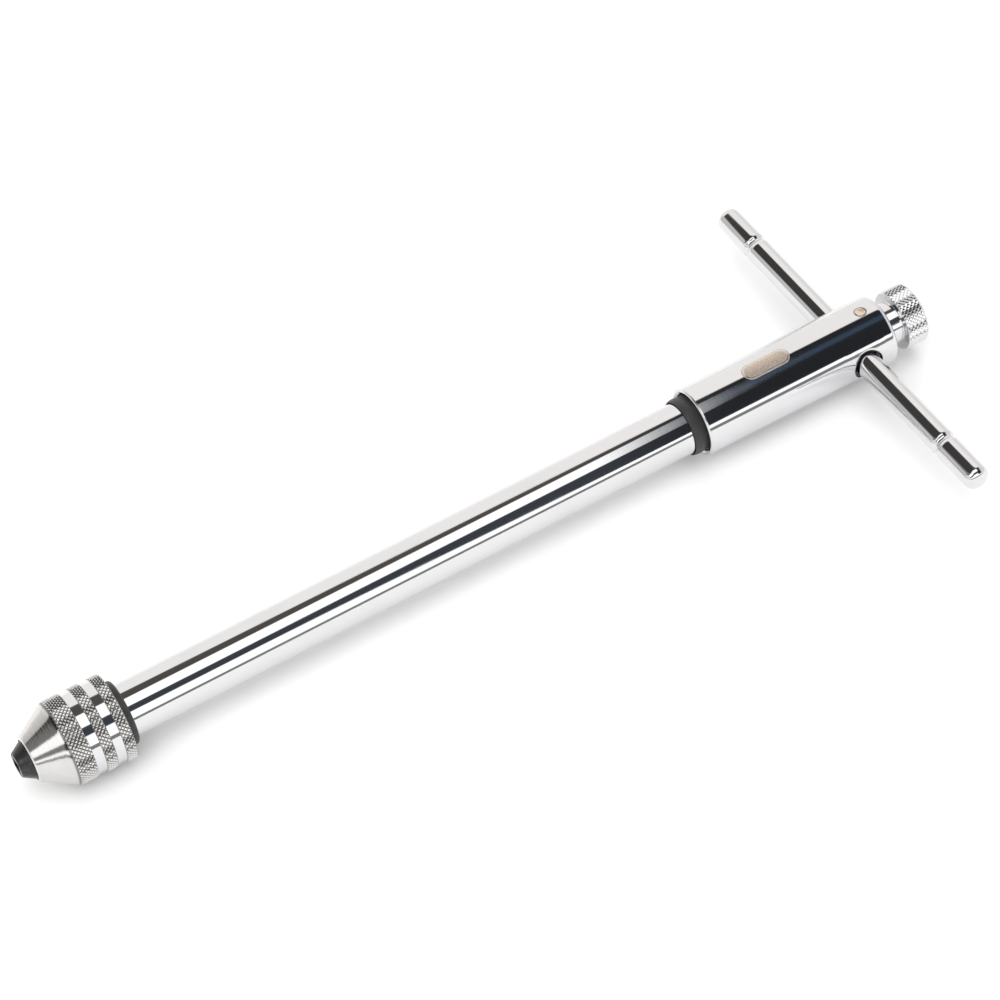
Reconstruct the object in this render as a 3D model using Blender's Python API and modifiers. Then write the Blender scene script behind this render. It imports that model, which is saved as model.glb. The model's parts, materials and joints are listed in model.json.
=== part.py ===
"""Long-reach ratchet tap wrench with a sliding T-bar and a two-jaw chuck.

The tool lies along X with the chuck at -X, the T-bar runs along Y, and the chuck cap rests on z = 0.
Stations are distances along the tool from the nose of the jaws.  Everything hangs on the empty
"tool_axis", whose local x is the T-bar's direction, local y is up and local z is the station.
"""

import math

import bpy
from mathutils import Vector

MM = 0.001

# Driving sizes along the tool
NOSE_LENGTH = 3.6 * MM
CAP_CONE_LENGTH = 10.2 * MM
CAP_BAND_LENGTHS = (5.0 * MM, 3.4 * MM, 3.3 * MM)
CAP_GROOVE_WIDTH = 2.8 * MM
CAP_RING_WIDTH = 2.1 * MM
TUBE_SHOWN_LENGTH = 184.3 * MM
SEAL_SHOWN_LENGTH = 4.0 * MM
HEAD_LENGTH = 66.5 * MM
BAR_TO_HEAD_REAR = 11.1 * MM
NECK_LENGTH = 4.7 * MM
KNOB_LENGTH = 7.0 * MM

# Driving sizes across the tool
TUBE_RADIUS = 8.1 * MM
TUBE_WALL = 2.6 * MM
NOSE_RADIUS = 3.75 * MM
JAW_RIM_RADIUS = 5.9 * MM
CAP_RIM_WIDTH = 0.5 * MM
CAP_WALL = 4.6 * MM
CAP_GROOVE_DEPTH = 0.4 * MM
CAP_RING_WALL = 1.35 * MM
SEAL_WALL = 0.6 * MM
BUSH_WALL = 0.6 * MM
HEAD_WALL = 1.7 * MM
NECK_RADIUS = 6.6 * MM
KNOB_RADIUS = 9.4 * MM
BAR_RADIUS = 4.0 * MM
BAR_HALF_LENGTH = 67.2 * MM
BAR_END_ROUND = 2.6 * MM
BAR_GROOVE_FROM_END = 17.5 * MM
BAR_GROOVE_RADIUS = 1.3 * MM
BAR_GROOVE_DEPTH = 0.55 * MM
SELECTOR_PIN_RADIUS = 1.75 * MM
SELECTOR_PIN_BEHIND_BAR = 4.4 * MM
SELECTOR_PIN_HEAD_LENGTH = 3.6 * MM
PIN_TIP_RADIUS = 0.9 * MM
PIN_GROOVE_DEPTH = 0.8 * MM

# Driving sizes of the mechanism
FIT = 0.3 * MM
PRESS = 0.15 * MM
JAW_CONE_ANGLE = math.radians(20)
JAW_GAP = 0.8 * MM
JAW_SQUARE = 4.4 * MM
JAW_VEE_DEPTH = 11.0 * MM
JAW_TAIL_LENGTH = 7.0 * MM
JAW_TAIL_WIDTH = 7.8 * MM
JAW_OPENING_TRAVEL = 1.0 * MM
JAW_SPRING_RADIUS = 1.0 * MM
JAW_SPRING_HALF_LENGTH = 2.9 * MM
SPIGOT_LENGTH = 15.0 * MM
CHUCK_PIN_RADIUS = 1.2 * MM
SPINDLE_PIN_RADIUS = 1.5 * MM
TUBE_IN_HEAD = 16.2 * MM
TUBE_IN_CAP = 4.1 * MM
CHUCK_PIN_FROM_TUBE_END = 2.2 * MM
CHUCK_TAP_BORE = 3.4 * MM
CHUCK_TAP_BORE_DEPTH = 6.0 * MM
BUSH_LENGTH = 11.0 * MM
BUSH_DEPTH = 2.7 * MM
SEAL_HIDDEN_LENGTH = 2.2 * MM
RETAINING_RING_THICKNESS = 1.2 * MM
RETAINING_RING_WALL = 1.5 * MM
FLANGE_LENGTH = 2.0 * MM
WHEEL_LENGTH = 7.0 * MM
WHEEL_TEETH = 12
WHEEL_RADIUS = 5.6 * MM
WHEEL_TOOTH_DEPTH = 1.0 * MM
WHEEL_GAP_ROOT = 0.54
WHEEL_GAP_MOUTH = 0.74
WHEEL_SHAFT_RADIUS = 3.0 * MM
CIRCLIP_THICKNESS = 0.7 * MM
CIRCLIP_WALL = 1.5 * MM
CIRCLIP_GROOVE_DEPTH = 0.7 * MM
CHAMBER_TAIL = 4.4 * MM
WEB_LENGTH = 10.0 * MM
PAWL_PIN_RADIUS = 0.75 * MM
PAWL_BOSS_RADIUS = 1.45 * MM
PAWL_PIN_DEPTH = 5.0 * MM
SELECTOR_SWING = math.radians(15)
STEM_LEG = 1.9 * MM
CAM_SHAFT_RADIUS = 3.2 * MM
SELECTOR_HOLE_FLOOR = 2.0 * MM
SELECTOR_BALL_DEPTH = 2.7 * MM
SELECTOR_SPIGOT_IN_KNOB = 2.0 * MM
BAR_SEAL_WALL = 0.7 * MM
BAR_SEAL_WIDTH = 0.7 * MM
BAR_SEAL_DEPTH = 2.0 * MM
DETENT_BALL_RADIUS = 0.8 * MM
DETENT_PLAY = 0.2 * MM
SPRING_WIRE_RADIUS = 0.18 * MM
PAWL_SPRING_RADIUS = 1.2 * MM
BAR_SPRING_RADIUS = 0.6 * MM
SELECTOR_SPRING_RADIUS = 0.5 * MM
SELECTOR_SPRING_WIRE_RADIUS = 0.12 * MM

# Stations, measured from the nose of the jaws
CAP_FRONT = NOSE_LENGTH
CAP_CONE_END = CAP_FRONT + CAP_CONE_LENGTH
CAP_REAR = CAP_CONE_END + sum(CAP_BAND_LENGTHS) + 2 * CAP_GROOVE_WIDTH
RING_FRONT = CAP_REAR + FIT
RING_REAR = RING_FRONT + CAP_RING_WIDTH
SEAL_FRONT = RING_REAR + TUBE_SHOWN_LENGTH
HEAD_FRONT = SEAL_FRONT + SEAL_SHOWN_LENGTH
HEAD_REAR = HEAD_FRONT + HEAD_LENGTH
BAR_STATION = HEAD_REAR - BAR_TO_HEAD_REAR
KNOB_FRONT = HEAD_REAR + NECK_LENGTH
KNOB_REAR = KNOB_FRONT + KNOB_LENGTH

# Chuck sizes that follow from the driving ones
JAW_SLOPE = math.tan(JAW_CONE_ANGLE)
JAW_CONE_END = CAP_FRONT + (TUBE_RADIUS - JAW_RIM_RADIUS) / JAW_SLOPE
BODY_FRONT = JAW_CONE_END + 2 * FIT
JAW_REAR = BODY_FRONT + JAW_TAIL_LENGTH
SLOT_FLOOR = JAW_REAR + FIT
CAP_TRAVEL = JAW_OPENING_TRAVEL / JAW_SLOPE
CAP_HOLE_RADIUS = JAW_RIM_RADIUS + FIT
CAP_BORE_RADIUS = TUBE_RADIUS + JAW_OPENING_TRAVEL + FIT
CAP_THREAD_RADIUS = TUBE_RADIUS + FIT
CAP_BAND_RADIUS = CAP_THREAD_RADIUS + CAP_WALL
CAP_BORE_START = CAP_FRONT + (CAP_BORE_RADIUS - CAP_HOLE_RADIUS) / JAW_SLOPE
CAP_THREAD_START = SLOT_FLOOR + CAP_TRAVEL
TUBE_BORE_RADIUS = TUBE_RADIUS - TUBE_WALL
TUBE_FRONT = CAP_REAR - TUBE_IN_CAP
CHUCK_PIN_STATION = TUBE_FRONT + CHUCK_PIN_FROM_TUBE_END

# Head sizes that follow from the driving ones
BUSH_RADIUS = TUBE_RADIUS + FIT + BUSH_WALL
CHAMBER_RADIUS = BUSH_RADIUS + FIT
HEAD_RADIUS = CHAMBER_RADIUS + HEAD_WALL
TUBE_REAR = HEAD_FRONT + TUBE_IN_HEAD
BUSH_FRONT = HEAD_FRONT + BUSH_DEPTH
RETAINING_RING_FRONT = BUSH_FRONT + BUSH_LENGTH + 2 * FIT
FLANGE_FRONT = TUBE_REAR + FIT
FLANGE_REAR = FLANGE_FRONT + FLANGE_LENGTH
WHEEL_FRONT = FLANGE_REAR + FIT
WHEEL_REAR = WHEEL_FRONT + WHEEL_LENGTH
CIRCLIP_FRONT = WHEEL_REAR + FIT
SHAFT_END = CIRCLIP_FRONT + CIRCLIP_THICKNESS + 3 * FIT
CHAMBER_REAR = WHEEL_REAR + CHAMBER_TAIL
STEM_BORE_START = CHAMBER_REAR + WEB_LENGTH
STEM_RADIUS = BAR_RADIUS + STEM_LEG
STEM_BORE_RADIUS = STEM_RADIUS + FIT
BAR_HOLE_RADIUS = BAR_RADIUS + FIT
BAR_SEAL_INNER_FACE = HEAD_RADIUS - BAR_SEAL_DEPTH
DETENT_OFFSET = (STEM_BORE_RADIUS + BAR_SEAL_INNER_FACE - FIT) / 2
SELECTOR_PIN_STATION = BAR_STATION + SELECTOR_PIN_BEHIND_BAR
PIN_GROOVE_RADIUS = STEM_RADIUS - PIN_GROOVE_DEPTH
PIN_SHOULDER = HEAD_RADIUS - SELECTOR_PIN_HEAD_LENGTH
SELECTOR_BALL_STATION = HEAD_REAR - SELECTOR_BALL_DEPTH

# Pawls: pivots on a circle in the chamber, tips at top and bottom of the wheel
PAWL_PIVOT_RADIUS = WHEEL_RADIUS + FIT + PAWL_BOSS_RADIUS
PAWL_TIP_ANGLE = math.radians(41.25)
PAWL_FRONT = WHEEL_FRONT + FIT
PAWL_REAR = WHEEL_REAR - FIT

AXIS_HEIGHT = CAP_BAND_RADIUS
SEGMENTS = 40
FINE_SEGMENTS = 20

FINISHES = {
    "chrome": ((0.80, 0.81, 0.83), 0.06, 1.0),
    "satin_nickel": ((0.74, 0.73, 0.71), 0.24, 1.0),
    "black_oxide": ((0.030, 0.030, 0.032), 0.34, 0.8),
    "black_rubber": ((0.018, 0.018, 0.019), 0.55, 0.0),
    "tool_steel": ((0.46, 0.46, 0.47), 0.32, 1.0),
    "spring_steel": ((0.30, 0.30, 0.32), 0.28, 1.0),
    "brass": ((0.72, 0.56, 0.38), 0.28, 1.0),
}


def clear_scene():
    """Remove every object that the scene starts with."""
    for item in list(bpy.data.objects):
        bpy.data.objects.remove(item, do_unlink=True)


def make_collection(name):
    collection = bpy.data.collections.new(name)
    bpy.context.scene.collection.children.link(collection)
    return collection


def finish(name):
    """Return the Principled material of a finish, made once for each sub-part that asks."""
    colour, roughness, metallic = FINISHES[name]
    material = bpy.data.materials.new(name)
    material.use_nodes = True
    shader = material.node_tree.nodes["Principled BSDF"]
    shader.inputs["Base Color"].default_value = (*colour, 1.0)
    shader.inputs["Roughness"].default_value = roughness
    shader.inputs["Metallic"].default_value = metallic
    return material


def place(item, collection, location=(0.0, 0.0, 0.0), rotation=(0.0, 0.0, 0.0)):
    """Link an object to its collection and hang it on the tool's axis."""
    for owner in list(item.users_collection):
        owner.objects.unlink(item)
    collection.objects.link(item)
    item.parent = tool_axis
    item.location = location
    item.rotation_euler = rotation
    return item


def as_part(item, surface, location=(0.0, 0.0, 0.0), rotation=(0.0, 0.0, 0.0)):
    item.data.materials.append(finish(surface))
    return place(item, parts, location, rotation)


def as_cutter(item, location=(0.0, 0.0, 0.0), rotation=(0.0, 0.0, 0.0)):
    item.hide_render = True
    item.display_type = "WIRE"
    return place(item, cutters, location, rotation)


def turned(name, outer, inner=(), segments=SEGMENTS):
    """Turn a profile about local z.

    outer is a list of (station, radius) from front to rear.  With inner, a list from front to rear
    as well, the two close into a ring; without it the profile ends on the axis.
    """
    points = [(radius, station) for station, radius in reversed(outer)]
    points += [(radius, station) for station, radius in inner]
    edges = [(i, i + 1) for i in range(len(points) - 1)]
    if inner:
        edges.append((len(points) - 1, 0))
    mesh = bpy.data.meshes.new(name)
    mesh.from_pydata([(radius, 0.0, station) for radius, station in points], edges, [])
    item = bpy.data.objects.new(name, mesh)
    screw = item.modifiers.new("Screw", "SCREW")
    screw.axis = "Z"
    screw.angle = math.tau
    screw.steps = segments
    screw.render_steps = segments
    screw.use_merge_vertices = True
    screw.merge_threshold = 0.000001
    return item


def solid(*stations):
    """Close a list of (station, radius) on the axis at both ends."""
    return [(stations[0][0], 0.0), *stations, (stations[-1][0], 0.0)]


def arc(station, radius, size, start, end, count=3):
    """Points of a round of the given size about (station, radius), angles in degrees from rearward."""
    steps = [math.radians(start + (end - start) * i / count) for i in range(count + 1)]
    return [(station + size * math.cos(a), radius + size * math.sin(a)) for a in steps]


def box(name, low, high):
    """A box between two corners."""
    low, high = Vector(low), Vector(high)
    bpy.ops.mesh.primitive_cube_add(size=1.0)
    item = bpy.context.object
    item.name = name
    size = high - low
    middle = (high + low) / 2
    for vertex in item.data.vertices:
        vertex.co = Vector(a * b for a, b in zip(vertex.co, size)) + middle
    return item


def rod(name, radius, start, end, segments=FINE_SEGMENTS):
    """A plain cylinder along local z between two stations."""
    bpy.ops.mesh.primitive_cylinder_add(vertices=segments, radius=radius, depth=end - start)
    item = bpy.context.object
    item.name = name
    for vertex in item.data.vertices:
        vertex.co.z += (start + end) / 2
    return item


def ball(name, radius):
    bpy.ops.mesh.primitive_uv_sphere_add(segments=14, ring_count=8, radius=radius)
    item = bpy.context.object
    item.name = name
    return item


def coil(name, radius, length, turns, wire=SPRING_WIRE_RADIUS):
    """A coil spring of round wire, centred on its origin along local z."""
    per_turn = 10
    count = int(per_turn * turns) + 1
    curve = bpy.data.curves.new(name, "CURVE")
    curve.dimensions = "3D"
    curve.bevel_depth = wire
    curve.bevel_resolution = 0
    curve.resolution_u = 1
    curve.use_fill_caps = True
    spline = curve.splines.new("POLY")
    spline.points.add(count - 1)
    for i, point in enumerate(spline.points):
        angle = math.tau * i / per_turn
        height = length * (i / (count - 1) - 0.5)
        point.co = (radius * math.cos(angle), radius * math.sin(angle), height, 1.0)
    return bpy.data.objects.new(name, curve)


def plate(name, outline, hole_radius, thickness):
    """A flat outline with a round hole at its origin, thickened along local z."""
    curve = bpy.data.curves.new(name, "CURVE")
    curve.dimensions = "2D"
    curve.fill_mode = "BOTH"
    curve.extrude = thickness / 2
    hole = [(hole_radius * math.cos(a), hole_radius * math.sin(a))
            for a in (math.tau * i / FINE_SEGMENTS for i in range(FINE_SEGMENTS))]
    for loop in (outline, hole):
        spline = curve.splines.new("POLY")
        spline.points.add(len(loop) - 1)
        spline.use_cyclic_u = True
        for point, (x, y) in zip(spline.points, loop):
            point.co = (x, y, 0.0, 1.0)
    return bpy.data.objects.new(name, curve)


def cut(item, *tools):
    """Take each tool's volume out of an object."""
    for tool in tools:
        modifier = item.modifiers.new(tool.name, "BOOLEAN")
        modifier.operation = "DIFFERENCE"
        modifier.solver = "EXACT"
        modifier.object = tool


# Directions in the tool's axis frame
ALONG_BAR = (0.0, math.pi / 2, 0.0)
POINTING_UP = (-math.pi / 2, 0.0, 0.0)
JAW_ROLL = (0.0, 0.0, 3 * math.pi / 4)
ALONG_JAW_SLIDE = (-math.pi / 2, 0.0, math.pi / 4)


def make_chuck_cap():
    """The cap: a hollow cone in front, then three bands with two grooves between them."""
    edge = 0.35 * MM
    rim = CAP_HOLE_RADIUS + CAP_RIM_WIDTH
    groove_radius = CAP_BAND_RADIUS - CAP_GROOVE_DEPTH
    outer = [(CAP_FRONT, rim), (CAP_FRONT + edge, rim + edge)]
    outer.append((CAP_CONE_END - 2 * edge, CAP_BAND_RADIUS - 2 * edge))
    station = CAP_CONE_END
    for index, length in enumerate(CAP_BAND_LENGTHS):
        outer.append((station, CAP_BAND_RADIUS))
        station += length
        if index < len(CAP_BAND_LENGTHS) - 1:
            outer.append((station, CAP_BAND_RADIUS))
            outer.append((station + edge, groove_radius))
            station += CAP_GROOVE_WIDTH
            outer.append((station - edge, groove_radius))
    outer.append((station - edge, CAP_BAND_RADIUS))
    outer.append((station, CAP_BAND_RADIUS - edge))
    inner = [
        (CAP_FRONT, CAP_HOLE_RADIUS),
        (CAP_BORE_START, CAP_BORE_RADIUS),
        (CAP_THREAD_START, CAP_BORE_RADIUS),
        (CAP_THREAD_START, CAP_THREAD_RADIUS),
        (CAP_REAR, CAP_THREAD_RADIUS),
    ]
    as_part(turned("chuck_cap", outer, inner), "satin_nickel")


def make_cap_ring():
    """The black ring that follows the cap along the tube."""
    edge = 0.5 * MM
    radius = TUBE_RADIUS + FIT + CAP_RING_WALL
    outer = [(RING_FRONT, radius), (RING_REAR - edge, radius), (RING_REAR, radius - edge)]
    inner = [(RING_FRONT, TUBE_RADIUS + FIT), (RING_REAR, TUBE_RADIUS + FIT)]
    as_part(turned("cap_ring", outer, inner), "black_rubber")


def make_jaws():
    """Two half-round jaws with a V for the tap's square, sliding apart on the 45 degree line."""
    reach = 2 * TUBE_RADIUS
    half_square = JAW_SQUARE / 2
    half_tail = JAW_TAIL_WIDTH / 2
    tail_start = JAW_CONE_END + FIT
    spring_station = (JAW_VEE_DEPTH + JAW_REAR) / 2 + FIT
    vee = as_cutter(box(
        "vee_cutter", (-half_square, -half_square, -FIT), (half_square, half_square, JAW_VEE_DEPTH)))
    spring_hole = as_cutter(
        rod("spring_hole_cutter", JAW_SPRING_RADIUS + 2 * FIT,
            -JAW_SPRING_HALF_LENGTH - 2 * FIT, JAW_SPRING_HALF_LENGTH + 2 * FIT),
        (0.0, 0.0, spring_station), ALONG_JAW_SLIDE)
    cheeks = [as_cutter(
        box(f"cheek_cutter_{word}",
            (-reach, min(side * half_tail, side * reach), tail_start),
            (reach, max(side * half_tail, side * reach), JAW_REAR + FIT)),
        rotation=JAW_ROLL) for word, side in (("low", -1), ("high", 1))]
    profile = solid(
        (0.0, NOSE_RADIUS), (CAP_FRONT, JAW_RIM_RADIUS),
        (JAW_CONE_END, TUBE_RADIUS), (JAW_REAR, TUBE_RADIUS))
    for word, side in (("left", 1), ("right", -1)):
        near = side * JAW_GAP / 2
        other_half = as_cutter(
            box(f"jaw_{word}_half_cutter",
                (min(near, -side * reach), -reach, -FIT),
                (max(near, -side * reach), reach, JAW_REAR + FIT)),
            rotation=JAW_ROLL)
        jaw = as_part(turned(f"jaw_{word}", profile), "black_oxide")
        cut(jaw, other_half, vee, *cheeks, spring_hole)
    as_part(coil("jaw_spring", JAW_SPRING_RADIUS, 2 * JAW_SPRING_HALF_LENGTH, 5), "spring_steel",
            (0.0, 0.0, spring_station), ALONG_JAW_SLIDE)


def make_chuck_body():
    """The threaded body that guides the jaws, with a pinned spigot in the tube."""
    shoulder = TUBE_FRONT - FIT
    spigot_radius = TUBE_BORE_RADIUS - FIT
    spigot_end = TUBE_FRONT + SPIGOT_LENGTH
    bore_end = SLOT_FLOOR + CHUCK_TAP_BORE_DEPTH
    outer = [
        (BODY_FRONT, CHUCK_TAP_BORE), (BODY_FRONT, TUBE_RADIUS), (shoulder, TUBE_RADIUS),
        (shoulder, spigot_radius), (spigot_end - 2 * FIT, spigot_radius),
        (spigot_end, spigot_radius - 2 * FIT), (spigot_end, 0.0),
    ]
    profile = [(bore_end, 0.0), (bore_end, CHUCK_TAP_BORE), *outer]
    body = as_part(turned("chuck_body", profile), "tool_steel")
    half_slot = JAW_TAIL_WIDTH / 2 + FIT
    reach = 2 * TUBE_RADIUS
    slot = as_cutter(
        box("jaw_slot_cutter", (-reach, -half_slot, 0.0), (reach, half_slot, SLOT_FLOOR)),
        rotation=JAW_ROLL)
    cut(body, slot, pin_hole("chuck_pin_hole", CHUCK_PIN_RADIUS, CHUCK_PIN_STATION))
    as_part(rod("chuck_pin", CHUCK_PIN_RADIUS, -TUBE_RADIUS + FIT, TUBE_RADIUS - FIT),
            "tool_steel", (0.0, 0.0, CHUCK_PIN_STATION), POINTING_UP)


def pin_hole(name, radius, station):
    """A cutter for a cross pin that stands upright through the tube."""
    reach = 2 * TUBE_RADIUS
    return as_cutter(rod(name, radius + PRESS, -reach, reach), (0.0, 0.0, station), POINTING_UP)


def make_tube():
    """The long tube, open inside and pinned at both ends."""
    edge = 0.3 * MM
    outer = [(TUBE_FRONT, TUBE_RADIUS - edge), (TUBE_FRONT + edge, TUBE_RADIUS),
             (TUBE_REAR - edge, TUBE_RADIUS), (TUBE_REAR, TUBE_RADIUS - edge)]
    inner = [(TUBE_FRONT, TUBE_BORE_RADIUS), (TUBE_REAR, TUBE_BORE_RADIUS)]
    tube = as_part(turned("extension_tube", outer, inner), "chrome")
    cut(tube, bpy.data.objects["chuck_pin_hole"], bpy.data.objects["spindle_pin_hole"])


def make_spindle():
    """The plug in the tube's rear end, its flange and the seat of the ratchet wheel."""
    plug_radius = TUBE_BORE_RADIUS - FIT
    plug_front = TUBE_REAR - SPIGOT_LENGTH
    clip_seat = WHEEL_SHAFT_RADIUS - CIRCLIP_GROOVE_DEPTH
    clip_end = CIRCLIP_FRONT + CIRCLIP_THICKNESS + FIT
    profile = solid(
        (plug_front, plug_radius), (FLANGE_FRONT, plug_radius), (FLANGE_FRONT, BUSH_RADIUS),
        (FLANGE_REAR, BUSH_RADIUS), (FLANGE_REAR, WHEEL_SHAFT_RADIUS),
        (WHEEL_REAR, WHEEL_SHAFT_RADIUS), (WHEEL_REAR, clip_seat), (clip_end, clip_seat),
        (clip_end, WHEEL_SHAFT_RADIUS), (SHAFT_END, WHEEL_SHAFT_RADIUS))
    station = BUSH_FRONT + BUSH_LENGTH / 2
    spindle = as_part(turned("spindle", profile, segments=32), "tool_steel")
    cut(spindle, pin_hole("spindle_pin_hole", SPINDLE_PIN_RADIUS, station))
    as_part(rod("spindle_pin", SPINDLE_PIN_RADIUS, -TUBE_RADIUS + FIT, TUBE_RADIUS - FIT),
            "tool_steel", (0.0, 0.0, station), POINTING_UP)


def make_wheel():
    """The ratchet wheel, with a gap between teeth at top and bottom, and its circlip."""
    pitch = math.tau / WHEEL_TEETH
    half_root = pitch * WHEEL_GAP_ROOT / 2
    half_mouth = pitch * WHEEL_GAP_MOUTH / 2
    root = WHEEL_RADIUS - WHEEL_TOOTH_DEPTH
    outline = []
    for tooth in range(WHEEL_TEETH):
        for radius, turn in ((WHEEL_RADIUS, -half_mouth), (root, -half_root), (root, half_root),
                             (WHEEL_RADIUS, half_mouth)):
            angle = tooth * pitch + turn
            outline.append((radius * math.sin(angle), radius * math.cos(angle)))
    wheel = plate("ratchet_wheel", outline, WHEEL_SHAFT_RADIUS + PRESS, WHEEL_LENGTH)
    as_part(wheel, "tool_steel", (0.0, 0.0, (WHEEL_FRONT + WHEEL_REAR) / 2))
    clip_inner = WHEEL_SHAFT_RADIUS - CIRCLIP_GROOVE_DEPTH + PRESS
    clip_outer = clip_inner + CIRCLIP_WALL
    clip_rear = CIRCLIP_FRONT + CIRCLIP_THICKNESS
    clip = turned("wheel_circlip", [(CIRCLIP_FRONT, clip_outer), (clip_rear, clip_outer)],
                  [(CIRCLIP_FRONT, clip_inner), (clip_rear, clip_inner)], FINE_SEGMENTS)
    as_part(clip, "spring_steel")


def make_dust_seal():
    """The round-backed rubber ring in the mouth of the head."""
    rear = HEAD_FRONT + SEAL_HIDDEN_LENGTH
    inner_radius = TUBE_RADIUS + FIT
    outer_radius = inner_radius + SEAL_WALL
    edge = SEAL_WALL * 0.8
    outer = arc(SEAL_FRONT + edge, outer_radius - edge, edge, 180, 90)
    outer += arc(rear - edge, outer_radius - edge, edge, 90, 0)
    inner = [(SEAL_FRONT, inner_radius), (rear, inner_radius)]
    as_part(turned("dust_seal", outer, inner), "black_rubber")


def make_head():
    """The ratchet head: mouth, journal bore, pawl chamber, web and the bore of the selector stem."""
    lip = 0.5 * MM
    mouth_depth = 0.7 * MM
    rear_round = 1.8 * MM
    ring_groove = CHAMBER_RADIUS + RETAINING_RING_WALL - BUSH_WALL
    ring_groove_rear = RETAINING_RING_FRONT + RETAINING_RING_THICKNESS + FIT
    cam_bore = CAM_SHAFT_RADIUS + FIT
    outer = [(HEAD_FRONT, HEAD_RADIUS - lip), (HEAD_FRONT + lip, HEAD_RADIUS)]
    outer += arc(HEAD_REAR - rear_round, HEAD_RADIUS - rear_round, rear_round, 90, 0)
    inner = [
        (HEAD_FRONT, CHAMBER_RADIUS + mouth_depth), (HEAD_FRONT + mouth_depth, CHAMBER_RADIUS),
        (RETAINING_RING_FRONT - FIT, CHAMBER_RADIUS), (RETAINING_RING_FRONT - FIT, ring_groove),
        (ring_groove_rear, ring_groove), (ring_groove_rear, CHAMBER_RADIUS),
        (CHAMBER_REAR, CHAMBER_RADIUS), (CHAMBER_REAR, cam_bore),
        (STEM_BORE_START, cam_bore), (STEM_BORE_START, STEM_BORE_RADIUS), (HEAD_REAR, STEM_BORE_RADIUS),
    ]
    head = as_part(turned("head_body", outer, inner), "chrome")
    reach = HEAD_RADIUS + 1.0 * MM
    recess_face = BAR_SEAL_INNER_FACE - FIT
    recess_radius = BAR_HOLE_RADIUS + BAR_SEAL_WALL + FIT
    bar_hole = turned("bar_hole_cutter", solid(
        (-reach, recess_radius), (-recess_face, recess_radius), (-recess_face, BAR_HOLE_RADIUS),
        (recess_face, BAR_HOLE_RADIUS), (recess_face, recess_radius), (reach, recess_radius)), segments=36)
    as_cutter(bar_hole, (0.0, 0.0, BAR_STATION), ALONG_BAR)
    detent_hole = as_cutter(
        rod("detent_hole_cutter", DETENT_BALL_RADIUS + DETENT_PLAY, CHAMBER_REAR - FIT, BAR_STATION, 16),
        (DETENT_OFFSET, 0.0, 0.0))
    pin_seat = turned("selector_pin_cutter", solid(
        (STEM_RADIUS - FIT, PIN_TIP_RADIUS + PRESS), (PIN_SHOULDER - PRESS, PIN_TIP_RADIUS + PRESS),
        (PIN_SHOULDER - PRESS, SELECTOR_PIN_RADIUS + PRESS), (reach, SELECTOR_PIN_RADIUS + PRESS)),
        segments=FINE_SEGMENTS)
    as_cutter(pin_seat, (0.0, 0.0, SELECTOR_PIN_STATION), POINTING_UP)
    pawl_holes = []
    for word, side in (("a", 1), ("b", -1)):
        x, y = pivot(side)
        pawl_holes.append(as_cutter(
            rod(f"pawl_pin_hole_{word}", PAWL_PIN_RADIUS + PRESS,
                CHAMBER_REAR - FIT, CHAMBER_REAR + PAWL_PIN_DEPTH + FIT, 16), (x, y, 0.0)))
    cut(head, bar_hole, detent_hole, pin_seat, *pawl_holes)


def make_head_inner_rings():
    """The journal bush and the ring that keeps the spindle's flange in the head."""
    bush_rear = BUSH_FRONT + BUSH_LENGTH
    inner_radius = TUBE_RADIUS + FIT
    bush = turned("head_bush", [(BUSH_FRONT, BUSH_RADIUS), (bush_rear, BUSH_RADIUS)],
                  [(BUSH_FRONT, inner_radius), (bush_rear, inner_radius)], 32)
    as_part(bush, "brass")
    ring_rear = RETAINING_RING_FRONT + RETAINING_RING_THICKNESS
    ring_radius = inner_radius + RETAINING_RING_WALL
    ring = turned("retaining_ring", [(RETAINING_RING_FRONT, ring_radius), (ring_rear, ring_radius)],
                  [(RETAINING_RING_FRONT, inner_radius), (ring_rear, inner_radius)], 32)
    as_part(ring, "spring_steel")


def pivot(side):
    """Place of a pawl's pivot: side 1 is above the axis, side -1 below."""
    angle = -PAWL_TIP_ANGLE
    return PAWL_PIVOT_RADIUS * math.sin(angle), side * PAWL_PIVOT_RADIUS * math.cos(angle)


def pawl_outline(side):
    """The pawl about its pivot: a boss arc, then an arm that follows the wheel to a hooked tip."""
    from_axis = [  # distance from the tool's axis and turn from the pivot's radius, in degrees
        (PAWL_PIVOT_RADIUS + 0.85 * MM, 15), (PAWL_PIVOT_RADIUS + 0.55 * MM, 30),
        (PAWL_PIVOT_RADIUS + 0.25 * MM, 44), (WHEEL_RADIUS + 1.3 * MM, 46),
        (WHEEL_RADIUS + 0.35 * MM, 44), (WHEEL_RADIUS + 0.35 * MM, 38.5),
        (WHEEL_RADIUS + 1.15 * MM, 36.5), (WHEEL_RADIUS + 0.9 * MM, 25), (WHEEL_RADIUS + 0.7 * MM, 16),
    ]
    arm = []
    for radius, degrees in from_axis:
        turn = math.radians(degrees)
        arm.append((radius * math.sin(turn), radius * math.cos(turn) - PAWL_PIVOT_RADIUS))
    boss = [(PAWL_BOSS_RADIUS * math.cos(a), PAWL_BOSS_RADIUS * math.sin(a))
            for a in (math.radians(-80 - 20 * i) for i in range(11))]
    lean = -PAWL_TIP_ANGLE
    outline = []
    for x, y in arm + boss:
        across = x * math.cos(lean) + y * math.sin(lean)
        up = -x * math.sin(lean) + y * math.cos(lean)
        outline.append((across, side * up))
    return outline


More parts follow.
